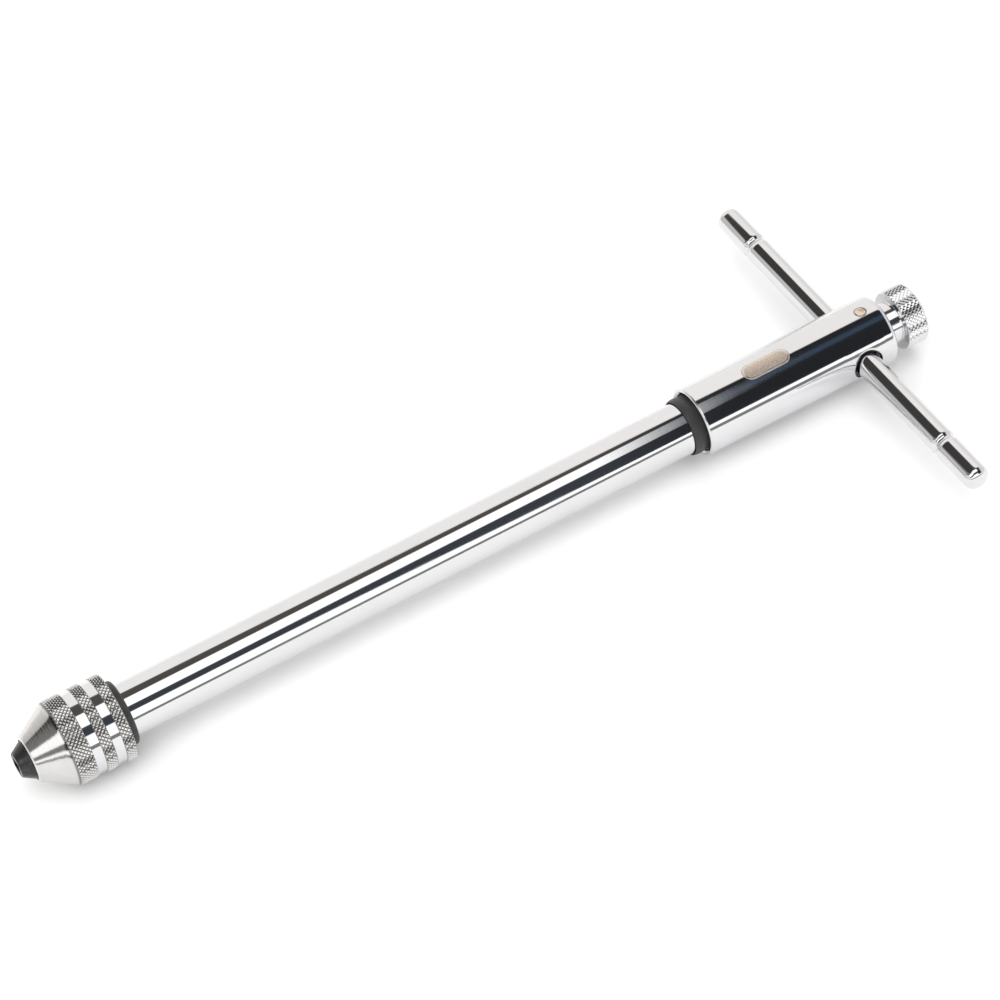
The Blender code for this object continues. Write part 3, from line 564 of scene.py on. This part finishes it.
def turned_finish(name, colour, lines, roughness, spread, bump=0.35):
    """Turned plate or steel: fine tool marks across the given cells per metre and a cloudy tone."""
    def build(shading):
        marks = shading.grain(lines, 4.0, 0.7)
        cloud = shading.grain((160.0, 220.0, 220.0), 4.0)
        tone = marks * 0.6 + cloud * 0.4
        return {
            "Base Color": shading.blend(tone, shade(colour, 0.86), shade(colour, 1.06)),
            "Roughness": roughness + marks * spread + (cloud - 0.5) * 0.10,
            "Normal": shading.bump(marks, bump, 0.03 * MM),
        }
    return new_finish(name, 1.0, build)


def patchy_finish(name, colour, metallic, skin, patches, tone, roughness, bump):
    """A fine skin with patches of another tone.

    skin is (cells per metre, detail), patches (cells per metre, low, high, strength), tone the patches'
    brightness beside the colour's, roughness (plain, added by the skin, added by the patches) and bump
    (strength, distance).
    """
    cells, low, high, strength = patches
    plain, by_skin, by_patch = roughness

    def build(shading):
        fine = shading.grain(*skin)
        patch = shading.grain((cells, cells, cells), 4.0).rise(low, high)
        return {
            "Base Color": shading.blend(patch * strength, colour, shade(colour, tone)),
            "Roughness": plain + fine * by_skin + patch * by_patch,
            "Normal": shading.bump(fine, *bump),
        }
    return new_finish(name, metallic, build)


def oxide_finish(name, colour):
    """Blackened steel: near black, with grey showing in rubbed patches and a fine ground texture."""
    return patchy_finish(name, colour, 0.55, ((500.0, 3200.0, 3200.0), 3.0), (420.0, 0.50, 0.78, 0.55),
                         3.4, (0.20, 0.12, -0.04), (0.25, 0.02 * MM))


def rubber_finish(name, colour):
    """Matt rubber: a fine pebbled skin with dusty lighter patches."""
    return patchy_finish(name, colour, 0.0, ((3400.0, 3400.0, 3400.0), 3.0), (300.0, 0.48, 0.80, 0.6),
                         2.2, (0.40, 0.14, 0.12), (0.30, 0.04 * MM))


def brass_finish(name, colour):
    """Plain machined brass with a warm tarnish in patches."""
    return patchy_finish(name, colour, 1.0, ((2600.0, 2600.0, 2600.0), 2.0), (700.0, 0.40, 0.75, 1.0),
                         0.70, (0.22, 0.06, 0.16), (0.20, 0.02 * MM))


LINES_ROUND_TOOL = (5200.0, 90.0, 90.0)
LINES_ROUND_BAR = (90.0, 5200.0, 90.0)
LINES_ALL_WAYS = (2400.0, 2400.0, 2400.0)


# Operators

class WRENCH_OT_chuck_cap(bpy.types.Operator):
    """Build the chuck cap: a bright rim, a turned cone, three knurled bands and two grooves"""
    bl_idname = "wrench.chuck_cap"
    bl_label = "Chuck Cap"

    def execute(self, context):
        sizes = context.scene.wrench_chuck
        edge = sizes.edge
        bevel = 0.6 * edge
        groove_radius = CAP_RADIUS - sizes.groove_depth
        step = 0.02 * MM
        low = min(groove_radius, CAP_RADIUS - sizes.knurl_depth) - step
        outer_rim = sizes.mouth + sizes.rim
        bore_start = CAP_FRONT + (sizes.bore - sizes.mouth) / NOSE_TAPER
        cone_end = CAP_FRONT + sizes.cone
        band_end = cone_end + sizes.bands[0]
        cone = eased([
            (CAP_FRONT, sizes.mouth), (CAP_FRONT, outer_rim), (CAP_FRONT + edge, outer_rim + edge),
            (cone_end - edge, CAP_RADIUS), (band_end - bevel, CAP_RADIUS), (band_end, low)],
            (0, 0.15 * MM, 0.2 * MM, 1.8 * MM, 0, 0), 8)
        smooth = int(np.argmax(cone[:, 1] > low))
        sections = [(cone[:smooth + 1], False), (cone[smooth:], True)]
        station = band_end
        for band in sizes.bands[1:]:
            end = station + sizes.groove
            sections.append(([(station + step, groove_radius), (end - step, groove_radius)], False))
            station = end + band
            sections.append(([(end, low), (end + bevel, CAP_RADIUS),
                              (station - bevel, CAP_RADIUS), (station, low)], True))
        thread_start = JAW_REAR + 3.0 * MM
        sections.append(([
            (CAP_REAR, sizes.thread), (thread_start, sizes.thread),
            (thread_start, sizes.bore), (bore_start, sizes.bore)], False))
        knurled_piece("knurled_cap", sections, CAP_RADIUS, sizes.teeth, sizes.knurl_depth, True,
                      cap_finish(context), "cap", "chuck_cap")
        return {"FINISHED"}


def cap_finish(context):
    """Satin plate with turned streaks on the cone, brighter and smoother in the grooves and on the rim,
    and with painted shade at the bottoms of the knurl's grooves.
    """
    colours = context.scene.wrench_finish
    sizes = context.scene.wrench_chuck
    first_groove = CAP_FRONT + sizes.cone + sizes.bands[0]
    second_groove = first_groove + sizes.groove + sizes.bands[1]

    def build(shading):
        cone_end = CAP_FRONT + sizes.cone
        x, y, z = shading.parts(shading.place())
        marks = shading.grain((6000.0, 160.0, 160.0), 4.0, 0.7)
        chatter = shading.grain((1700.0, 50.0, 50.0), 2.0)
        cloud = shading.grain((120.0, 260.0, 260.0), 4.0)
        grooves = [abs(x - (start + sizes.groove / 2)).ramp(
            sizes.groove / 2 - 0.1 * MM, sizes.groove / 2 + 0.05 * MM, 1.0, 0.0)
            for start in (first_groove, second_groove)]
        rim = x.ramp(CAP_FRONT + 0.1 * MM, CAP_FRONT + 0.35 * MM, 1.0, 0.0)
        bright = (grooves[0] + grooves[1] + rim).least(1.0)
        cone = x.ramp(cone_end - 1.6 * MM, cone_end, 1.0, 0.0) * (1 - bright)
        satin = 0.08 + (0.02 + marks * 0.06) * cone + (cloud - 0.5) * 0.05
        mixed = marks * 0.5 + cloud * 0.5 - cone * 0.35
        tone = shading.blend(mixed, shade(colours.nickel, 0.78), shade(colours.nickel, 1.08))
        height = z - AXIS_HEIGHT
        out = (y * y + height * height).root()
        knurl = x.rise(cone_end - 1.3 * MM, cone_end - 0.6 * MM) * (1 - bright)
        depth = sizes.knurl_depth
        # Painted shade: the deep part of the knurl's grooves is darkened to about a fifth of the nickel's
        # colour, standing in for the shade that falls there.
        groove_shade = out.ramp(CAP_RADIUS - 0.95 * depth, CAP_RADIUS - 0.50 * depth, 1.0, 0.0)
        tone = shading.blend(groove_shade * knurl, tone, shade(colours.nickel, 0.22))
        return {
            "Base Color": shading.blend(bright, tone, colours.chrome),
            "Roughness": satin * (1 - bright) + bright * 0.06,
            "Normal": shading.bump((marks * 0.10 + chatter) * cone, 1.0, 0.045 * MM),
        }
    return new_finish("satin_nickel_turned", 1.0, build)


class WRENCH_OT_cap_ring(bpy.types.Operator):
    """Build the black ring that follows the cap"""
    bl_idname = "wrench.cap_ring"
    bl_label = "Cap Ring"

    def execute(self, context):
        edge = context.scene.wrench_chuck.ring_edge
        inner = TUBE_RADIUS + CLEARANCE
        profile = eased([
            (RING_FRONT, inner), (RING_FRONT, RING_RADIUS), (RING_REAR - edge, RING_RADIUS),
            (RING_REAR, RING_RADIUS - edge), (RING_REAR, inner)],
            (0.05 * MM, 0.15 * MM, 0.2 * MM, 0.2 * MM, 0.1 * MM))
        turned_piece("cap_follower_ring", profile, 128, 0, (0.0, AXIS_HEIGHT), True,
                     rubber_finish("ring_rubber", shade(context.scene.wrench_finish.rubber, 1.15)),
                     "ring", "cap_ring")
        return {"FINISHED"}


class WRENCH_OT_jaws(bpy.types.Operator):
    """Build the two V-grooved jaws"""
    bl_idname = "wrench.jaws"
    bl_label = "Jaws"

    def execute(self, context):
        sizes = context.scene.wrench_chuck
        finish = oxide_finish("jaw_black_oxide", context.scene.wrench_finish.oxide)
        for word, side, body in (("left", 1, "jaw_upper"), ("right", -1, "jaw_lower")):
            shell = Shell()
            jaw_surface(shell, sizes, side)
            shell.piece(f"vee_jaw_{word}", finish, body, [f"jaw_{word}"], sharp=25.0)
        return {"FINISHED"}


def jaw_surface(shell, sizes, side):
    """One jaw: a loop carried along the tool.

    The loop is a circle's arc of radius R(x), cut off at half the tail's width behind the cap, and a split
    line half the gap from the axis with a 90 degree notch in it; R follows the nose's cone.
    """
    gap = sizes.jaw_gap / 2
    tail_start = CAP_FRONT + (TUBE_RADIUS - sizes.jaw_rim) / NOSE_TAPER
    nose = eased([
        (NOSE, sizes.nose_radius - 0.25 * MM), (NOSE + 0.15 * MM, sizes.nose_radius),
        (CAP_FRONT, sizes.jaw_rim), (tail_start, TUBE_RADIUS), (tail_start + 0.3 * MM, TUBE_RADIUS)],
        (0, 0.1 * MM, 0.5 * MM, 0.1 * MM, 0))
    socket_floor = NOSE + sizes.socket_depth
    stations = np.concatenate([nose[:, 0], [socket_floor, socket_floor, JAW_REAR]])
    radii = np.concatenate([nose[:, 1], np.full(3, TUBE_RADIUS)])
    count = len(stations)
    depth = np.where(np.arange(count) < count - 2, sizes.square / 2 * math.sqrt(2) - gap, 0.0)
    uncut = 10 * TUBE_RADIUS
    half_width = np.where(stations > tail_start + 0.2 * MM, sizes.tail_width / 2, uncut)
    half_arc = np.arccos(gap / radii)
    a = np.linspace(1.0, -1.0, 41)[None, :] * half_arc[:, None]
    across = np.clip(radii[:, None] * np.sin(a), -half_width[:, None], half_width[:, None])
    out = radii[:, None] * np.cos(a)
    notch = np.linspace(-1.0, 1.0, 13)[None, :] * depth[:, None]
    across = np.concatenate([across, notch], 1)
    out = np.concatenate([out, gap + depth[:, None] - np.abs(notch)], 1)
    diagonal = math.sqrt(0.5) * side
    x = np.repeat(stations[:, None], across.shape[1], 1)
    rings = np.stack([x, diagonal * (across - out), AXIS_HEIGHT + diagonal * (out + across)], -1)
    shell.add_rings(rings)
    for end in (rings[0], rings[-1]):
        shell.add(end, np.arange(len(end))[None])


class WRENCH_OT_tube(bpy.types.Operator):
    """Build the long polished tube with the cross pins' holes near its ends"""
    bl_idname = "wrench.tube"
    bl_label = "Extension Tube"

    def execute(self, context):
        bore = TUBE_RADIUS - 2.6 * MM
        edge = 0.3 * MM
        pins = [(middle_of(node, 0), half_span(node, 0) + 0.15 * MM)
                for node in ("chuck_pin", "spindle_pin")]
        half = 2.4 * MM
        cells = 12
        lines = [np.linspace(station - half, station + half, cells + 1) for station, _ in pins]
        inner_lines = [line[::-1] for line in reversed(lines)]
        outer_stations = np.concatenate([[TUBE_FRONT + edge], *lines, [TUBE_REAR - edge]])
        inner_stations = np.concatenate([[TUBE_REAR], *inner_lines, [TUBE_FRONT]])
        profile = np.concatenate([
            [(TUBE_FRONT, TUBE_RADIUS - edge)],
            level(outer_stations, TUBE_RADIUS),
            [(TUBE_REAR, TUBE_RADIUS - edge)],
            level(inner_stations, bore)])
        outer = 2
        inner = 2 + len(outer_stations) + 1
        rows = cells + 1
        shell = Shell()
        pierced_surface(shell, profile, 128, [
            Hole(station, side, radius, first, cells, 12, (TUBE_RADIUS, bore), [], radius)
            for (station, radius), first in zip(pins, ((outer, inner + rows), (outer + rows, inner)))
            for side in (0.0, math.pi)])
        finish = chrome_finish("tube_chrome", context.scene.wrench_finish.chrome, LINES_ROUND_TOOL)
        shell.piece("polished_tube", finish, "shank", ["extension_tube"])
        return {"FINISHED"}


class Hole:
    """A radial hole through two walls of a turned piece.

    rows holds the first profile row of its rectangle on each wall, cells and width the rectangle's size
    in rows and columns, walls the radii of the two walls, and steps any (radius, height) rings between
    them.
    """

    def __init__(self, station, side, radius, rows, cells, width, walls, steps, inner_radius, edge=0.0):
        self.station, self.side, self.radius = station, side, radius
        self.rows, self.cells, self.width = rows, cells, width
        self.walls, self.steps = walls, steps
        self.inner_radius, self.edge = inner_radius, edge


def pierced_surface(shell, profile, columns, holes):
    """A ring-shaped turned piece with radial holes.

    The lattice leaves out each hole's rectangle on both walls, a patch fills it up to the hole's edge, and
    a lining of rings joins the two edges.
    """
    points = turned_points(profile, columns, 0, (0.0, AXIS_HEIGHT))
    faces = lattice_faces(len(profile), columns, True)
    keep = np.ones(faces.shape[:2], bool)
    for hole in holes:
        first_column = round(hole.side / math.tau * columns) - hole.width // 2
        left_out = np.arange(first_column, first_column + hole.width) % columns
        i, j, turn = border_of(hole.cells, hole.width)
        angles = (first_column + j) * math.tau / columns
        wide = hole.radius + hole.edge
        for row, rows, wall, radius in (
                (hole.rows[0], i, hole.walls[0], wide),
                (hole.rows[1], hole.cells - i, hole.walls[1], hole.inner_radius)):
            keep[row:row + hole.cells, left_out] = False
            stations = profile[row + rows, 0]
            patch = hole_patch(wall, stations, angles, hole.station, hole.side, radius, turn)
            shell.add(patch, lattice_faces(patch.shape[0], patch.shape[1], False))
        wall, inner_wall = hole.walls
        steps = [(wide, saddle(wall, wide, turn))]
        if hole.edge:
            eased_radius = hole.radius + hole.edge * 0.3
            steps.append((eased_radius, saddle(wall, eased_radius, turn) - hole.edge * 0.3))
            steps.append((hole.radius, saddle(wall, hole.radius, turn) - hole.edge))
        steps += [*hole.steps, (hole.inner_radius, saddle(inner_wall, hole.inner_radius, turn))]
        shell.add_rings([hole_ring(hole.station, hole.side, radius, turn, height)
                         for radius, height in steps])
    shell.add(points, faces[keep])


class WRENCH_OT_dust_seal(bpy.types.Operator):
    """Build the round-backed rubber ring in the mouth of the head"""
    bl_idname = "wrench.dust_seal"
    bl_label = "Dust Seal"

    def execute(self, context):
        inner = TUBE_RADIUS + CLEARANCE
        depth = SEAL_RADIUS - inner
        shown = HEAD_FRONT - 0.15 * MM - SEAL_FRONT
        turn = np.linspace(0.0, math.pi, 17)[:-4]
        bulge = np.stack([SEAL_FRONT + shown * (1 - np.cos(turn)) / 2,
                          inner + depth * np.sin(turn) ** 0.75], 1)
        profile = np.concatenate([[(SEAL_REAR, inner)], bulge, [(SEAL_REAR, bulge[-1, 1])]])
        turned_piece("head_dust_seal", profile, 128, 0, (0.0, AXIS_HEIGHT), True,
                     rubber_finish("seal_rubber", context.scene.wrench_finish.rubber),
                     "shank", "dust_seal")
        return {"FINISHED"}


class WRENCH_OT_head(bpy.types.Operator):
    """Build the ratchet head with its lip, rounded rear edge, bar hole and pin hole"""
    bl_idname = "wrench.head"
    bl_label = "Ratchet Head"

    def execute(self, context):
        sizes = context.scene.wrench_head
        colours = context.scene.wrench_finish
        half = 7.0 * MM
        cells = 32
        lines = np.linspace(BAR_STATION - half, BAR_STATION + half, cells + 1)
        chamber_rear = HEAD_REAR - sizes.chamber_rear
        stem_start = chamber_rear + sizes.web
        ring_low, ring_high = span("retaining_ring", 0)
        ring_low -= CLEARANCE
        ring_high += CLEARANCE
        groove_radius = sizes.chamber + 0.9 * MM
        front = eased([
            (HEAD_FRONT + sizes.mouth, sizes.chamber), (HEAD_FRONT, sizes.chamber + sizes.mouth),
            (HEAD_FRONT, HEAD_RADIUS - sizes.lip), (HEAD_FRONT + sizes.lip, HEAD_RADIUS)],
            (0, 0.15 * MM, 0.25 * MM, 0.25 * MM))
        outer = level(lines, HEAD_RADIUS)
        size = sizes.rear_round
        rear = circle_arc(HEAD_REAR - size, HEAD_RADIUS - size, size, 90, 0)
        bevel = 0.3 * MM
        mouth = np.array([(HEAD_REAR, sizes.stem_bore + bevel), (HEAD_REAR - bevel, sizes.stem_bore)])
        inner = level(lines[::-1], sizes.stem_bore)
        cavity = np.array([
            (stem_start, sizes.stem_bore), (stem_start, sizes.cam_bore), (chamber_rear, sizes.cam_bore),
            (chamber_rear, sizes.chamber), (ring_high, sizes.chamber), (ring_high, groove_radius),
            (ring_low, groove_radius), (ring_low, sizes.chamber)])
        profile = np.concatenate([front, outer, rear, mouth, inner, cavity])
        first_outer = len(front)
        first_inner = len(front) + len(outer) + len(rear) + len(mouth)
        walls = (HEAD_RADIUS, sizes.stem_bore)
        steps = [(sizes.seat, sizes.seat_floor), (sizes.bar_hole, sizes.seat_floor)]
        holes = [Hole(BAR_STATION, side, sizes.seat, (first_outer, first_inner), cells, 48, walls, steps,
                      sizes.bar_hole, sizes.hole_edge) for side in (math.pi / 2, -math.pi / 2)]
        pin_cells = 12
        pin_row = int(round((PIN_STATION - lines[0]) / (lines[1] - lines[0]))) - pin_cells // 2
        pin_rows = (first_outer + pin_row, first_inner + cells - pin_row - pin_cells)
        shoulder = HEAD_RADIUS - 3.75 * MM
        wide = PIN_RADIUS + 0.15 * MM
        narrow = 1.05 * MM
        holes.append(Hole(PIN_STATION, 0.0, wide, pin_rows, pin_cells, 12, walls,
                          [(wide, shoulder), (narrow, shoulder)], narrow, 0.08 * MM))
        shell = Shell()
        pierced_surface(shell, profile, 144, holes)
        finish = head_chrome_finish("head_chrome", colours.chrome, colours.mark, sizes, LINES_ROUND_TOOL)
        shell.piece("ratchet_head", finish, "head", ["head_body"])
        return {"FINISHED"}


class WRENCH_OT_selector(bpy.types.Operator):
    """Build the knurled selector knob with its neck, and the brass pin end"""
    bl_idname = "wrench.selector"
    bl_label = "Selector Knob and Pin"

    def execute(self, context):
        sizes = context.scene.wrench_handle
        colours = context.scene.wrench_finish
        edge = sizes.knob_edge
        low = KNOB_RADIUS - sizes.knurl_depth - 0.02 * MM
        face = KNOB_FRONT + sizes.neck_length
        bore_floor = KNOB_FRONT + sizes.spigot_depth
        front = eased([
            (bore_floor, 0.0), (bore_floor, sizes.spigot), (KNOB_FRONT, sizes.spigot),
            (KNOB_FRONT, sizes.neck), (face, sizes.neck), (face, low - edge / 2)],
            (0, 0, 0, 0.2 * MM, 0.3 * MM, 0))
        dimple = KNOB_REAR - 0.15 * MM
        rear = eased([
            (KNOB_REAR, low - edge / 2), (KNOB_REAR, 1.5 * MM), (dimple, 0.6 * MM), (dimple, 0.0)],
            (0, 0.3 * MM, 0.2 * MM, 0))
        sections = [
            (front, False),
            ([(face + 0.05 * MM, low), (face + edge, KNOB_RADIUS), (KNOB_REAR - edge, KNOB_RADIUS),
              (KNOB_REAR - 0.05 * MM, low)], True),
            (rear, False)]
        knurled_piece("knurled_knob", sections, KNOB_RADIUS, sizes.teeth, sizes.knurl_depth, False,
                      chrome_finish("knob_chrome", colours.chrome, LINES_ROUND_TOOL, 0.07),
                      "selector", "selector_knob")
        tip = 0.9 * MM
        shoulder = AXIS_HEIGHT + HEAD_RADIUS - 3.6 * MM
        profile = eased([
            (PIN_LOW, 0.0), (PIN_LOW, tip), (shoulder, tip), (shoulder, PIN_RADIUS),
            (PIN_HIGH - 0.12 * MM, PIN_RADIUS), (PIN_HIGH, PIN_RADIUS - 0.3 * MM),
            (PIN_HIGH - 0.06 * MM, PIN_RADIUS * 0.5), (PIN_HIGH - 0.08 * MM, 0.0)],
            (0, 0, 0, 0, 0.1 * MM, 0.1 * MM, 0.3 * MM, 0))
        turned_piece("pin_end", profile, 48, 2, (PIN_STATION, 0.0), False,
                     brass_finish("pin_brass", colours.brass), "head", "selector_pin")
        return {"FINISHED"}


class WRENCH_OT_bar(bpy.types.Operator):
    """Build the sliding T-bar with its two ring grooves, and the rubber seals round it"""
    bl_idname = "wrench.bar"
    bl_label = "T-Bar and Seals"

    def execute(self, context):
        sizes = context.scene.wrench_handle
        colours = context.scene.wrench_finish
        centre = BAR_RADIUS - sizes.groove_depth + sizes.groove_round
        opening = math.degrees(math.asin((centre - BAR_RADIUS) / sizes.groove_round))
        end_length = sizes.end_round + sizes.crown
        groove = circle_arc(
            sizes.groove_station, centre, sizes.groove_round, 180 + opening, 360 - opening, 10)
        lip, beside = 0.12 * MM, 1.2 * MM
        groove = np.concatenate([groove[:1] - [(beside, 0.0), (lip, 0.0)], groove[1:-1],
                                 groove[-1:] + [(lip, 0.0), (beside, 0.0)]])
        turn = np.linspace(math.pi / 2, 0.0, 13)
        power = 2 / 2.4
        end = np.stack([BAR_HALF_LENGTH - end_length + end_length * np.cos(turn) ** power,
                        BAR_RADIUS * np.sin(turn) ** power], 1)
        half = np.concatenate([groove, end])
        profile = np.concatenate([(half * (-1, 1))[::-1], half])
        turned_piece("sliding_bar", profile, 96, 1, (BAR_STATION, AXIS_HEIGHT), False,
                     chrome_finish("bar_chrome", colours.chrome, LINES_ROUND_BAR),
                     "bar", "t_bar", 40.0)
        finish = rubber_finish("bar_seal_rubber", colours.rubber)
        for word in ("left", "right"):
            node = f"bar_seal_{word}"
            low, high = span(node, 1)
            inner = BAR_RADIUS + CLEARANCE
            outer = half_span(node, 2) - CLEARANCE
            cut = 0.25 * MM
            ring = eased([(low, inner), (low, outer), (high, outer), (high, inner)], (cut, cut, cut, cut))
            turned_piece(f"bar_wiper_{word}", ring, 72, 1, (BAR_STATION, AXIS_HEIGHT), True,
                         finish, "head", node)
        return {"FINISHED"}


class WRENCH_OT_inner_pieces(bpy.types.Operator):
    """Give the inner pieces their machined steel, spring steel and brass"""
    bl_idname = "wrench.inner_pieces"
    bl_label = "Inner Pieces"

    def execute(self, context):
        colours = context.scene.wrench_finish
        finishes = {
            "tool_steel": turned_finish("machined_steel", colours.steel, LINES_ROUND_TOOL, 0.26, 0.10),
            "spring_steel": turned_finish(
                "spring_wire_steel", colours.spring, LINES_ALL_WAYS, 0.24, 0.08, 0.2),
            "brass": brass_finish("machined_brass", colours.brass),
        }
        slots = {part["node"]: part["material_slot"] for part in frame["record"]["subparts"]}
        for name, node in frame["nodes"].items():
            if not node.hide_render:
                node.data.materials.clear()
                node.data.materials.append(finishes[slots[name]])
        return {"FINISHED"}


class WRENCH_OT_stage(bpy.types.Operator):
    """Set the pale floor, the soft light, the studio round it and the camera"""
    bl_idname = "wrench.stage"
    bl_label = "Stage"

    def execute(self, context):
        make_floor(context.scene.wrench_finish.floor)
        make_lamp()
        make_studio(context.scene)
        make_camera(context.scene)
        return {"FINISHED"}


def make_floor(colour):
    """A large level plane at the height of the object's underside."""
    size = 4.0
    x, y = np.meshgrid((-size, size), (-size, size))
    points = np.stack([x.ravel(), y.ravel(), np.full(4, -0.02 * MM)], 1)
    mesh = bpy.data.meshes.new("floor")
    mesh.from_pydata(points, [], [(0, 1, 3, 2)])

    def build(shading):
        cloud = shading.grain((6.0, 6.0, 6.0), 3.0)
        return {
            "Base Color": shading.blend(cloud, shade(colour, 0.99), colour),
            "Roughness": 0.75 + cloud * 0.1,
        }
    mesh.materials.append(new_finish("pale_floor", 0.0, build, Specular_IOR_Level=0.0))
    new_object("floor", mesh)


def make_lamp():
    """A broad soft lamp high over the tool, left out of the reflections."""
    data = bpy.data.lights.new("soft_lamp", "AREA")
    data.shape = "SQUARE"
    data.size = 3.5
    data.energy = 39.0
    lamp = new_object("soft_lamp", data)
    lamp.location = (-0.25, -0.20, 1.3)
    lamp.rotation_euler = Euler((math.radians(9), math.radians(-12), 0.0))
    lamp.visible_glossy = False


def make_studio(scene):
    """Studio of soft boxes and dark cards that run along the tool, as light from each direction.

    turn is the angle round the x axis from the horizon at -y over the zenith, and x runs from -1 towards
    the nose to 1 towards the head.  The edges of the boxes and cards drift with x.
    """
    world = bpy.data.worlds.new("studio")
    scene.world = world
    world.use_nodes = True
    shading = Shading(world.node_tree)
    x, y, z = shading.parts(shading.node("ShaderNodeTexCoord").outputs["Generated"])
    turn = z.math("ARCTAN2", z, -y) * (180 / math.pi)
    head_side = x.rise(0.20, 0.33)
    past_tube = x.rise(0.30, 0.34)
    nose_side = x.ramp(-0.60, -0.30, 1.0, 0.0)
    low_end = turn + head_side * 19.0 + nose_side * 15.0
    low_box = turn.rise(8.0, 11.0) * (1 - low_end.rise(36.5, 39.5))
    top_start, top_end = turn + nose_side * 16.0, turn + nose_side * 9.0
    top_box = top_start.rise(60.5, 63.0) * (1 - top_end.rise(94.0, 97.0)) * (1 - past_tube)
    drift = x.ramp(-0.70, 0.12, 143.0, 129.0) + x.ramp(0.12, 0.36, 0.0, -22.0)
    back_wall = (turn - drift).rise(-1.5, 2.5)
    ends = x.rise(0.55, 0.80) + x.ramp(-0.92, -0.86, 1.0, 0.0)
    sky = turn.rise(66.0, 76.0) * (1 - turn.rise(82.0, 92.0))
    head_card = shading.blend(sky, (0.022, 0.024, 0.028), (0.046, 0.072, 0.112))
    card = shading.blend(turn.rise(50.0, 75.0), (0.054, 0.063, 0.076), (0.100, 0.091, 0.086))
    card = shading.blend(x.rise(0.0, 0.12), (0.060, 0.058, 0.056), card)
    card = shading.blend(x.ramp(-0.71, -0.65, 1.0, 0.0), card, (0.25, 0.245, 0.24))
    card = shading.blend(past_tube, card, head_card)
    wall = shading.blend(nose_side, (1.16, 1.13, 1.10), (0.72, 0.70, 0.69))
    light = shading.blend(turn.rise(8.0, 9.5), (0.26, 0.26, 0.27), card)
    soft = (1.6, 1.6, 1.6)
    for mask, colour in ((low_box, soft), (top_box, soft), (back_wall, wall), (ends, (0.95, 0.95, 0.95))):
        light = shading.blend(mask, light, colour)
    shading.tree.links.new(light, world.node_tree.nodes["Background"].inputs["Color"])


def make_camera(scene):
    """The camera: above and in front of the tool, with a long lens."""
    data = bpy.data.cameras.new("camera")
    data.lens = 126.0
    data.sensor_width = 36.0
    data.clip_end = 50.0
    camera = new_object("camera", data)
    camera.location = (-0.2726, -0.6033, 0.7753)
    camera.rotation_euler = Euler([math.radians(angle) for angle in (41.154, 5.071, -30.623)])
    scene.camera = camera
    scene.view_settings.view_transform = "Standard"


STEPS = (
    WRENCH_OT_chuck_cap, WRENCH_OT_cap_ring, WRENCH_OT_jaws, WRENCH_OT_tube, WRENCH_OT_dust_seal,
    WRENCH_OT_head, WRENCH_OT_selector, WRENCH_OT_bar, WRENCH_OT_inner_pieces, WRENCH_OT_stage,
)
GROUPS = {
    "wrench_chuck": ChuckSizes, "wrench_head": HeadSizes, "wrench_handle": HandleSizes,
    "wrench_finish": FinishSettings,
}


class WRENCH_PT_panel(bpy.types.Panel):
    """Buttons that build the wrench, and its sizes and colours"""
    bl_idname = "WRENCH_PT_panel"
    bl_label = "Tap Wrench"
    bl_space_type = "VIEW_3D"
    bl_region_type = "UI"
    bl_category = "Tap Wrench"

    def draw(self, context):
        for step in STEPS:
            self.layout.operator(step.bl_idname)
        for name in GROUPS:
            group = getattr(context.scene, name)
            column = self.layout.box().column()
            for key in group.bl_rna.properties.keys():
                if key not in ("rna_type", "name"):
                    column.prop(group, key)


CLASSES = (*GROUPS.values(), *STEPS, WRENCH_PT_panel)


def register():
    for item in CLASSES:
        bpy.utils.register_class(item)
    for name, group in GROUPS.items():
        setattr(bpy.types.Scene, name, PointerProperty(type=group))


def unregister():
    for name in GROUPS:
        delattr(bpy.types.Scene, name)
    for item in reversed(CLASSES):
        bpy.utils.unregister_class(item)


def main():
    register()
    for step in STEPS:
        category, name = step.bl_idname.split(".")
        getattr(getattr(bpy.ops, category), name)()


if __name__ == "__main__":
    main()
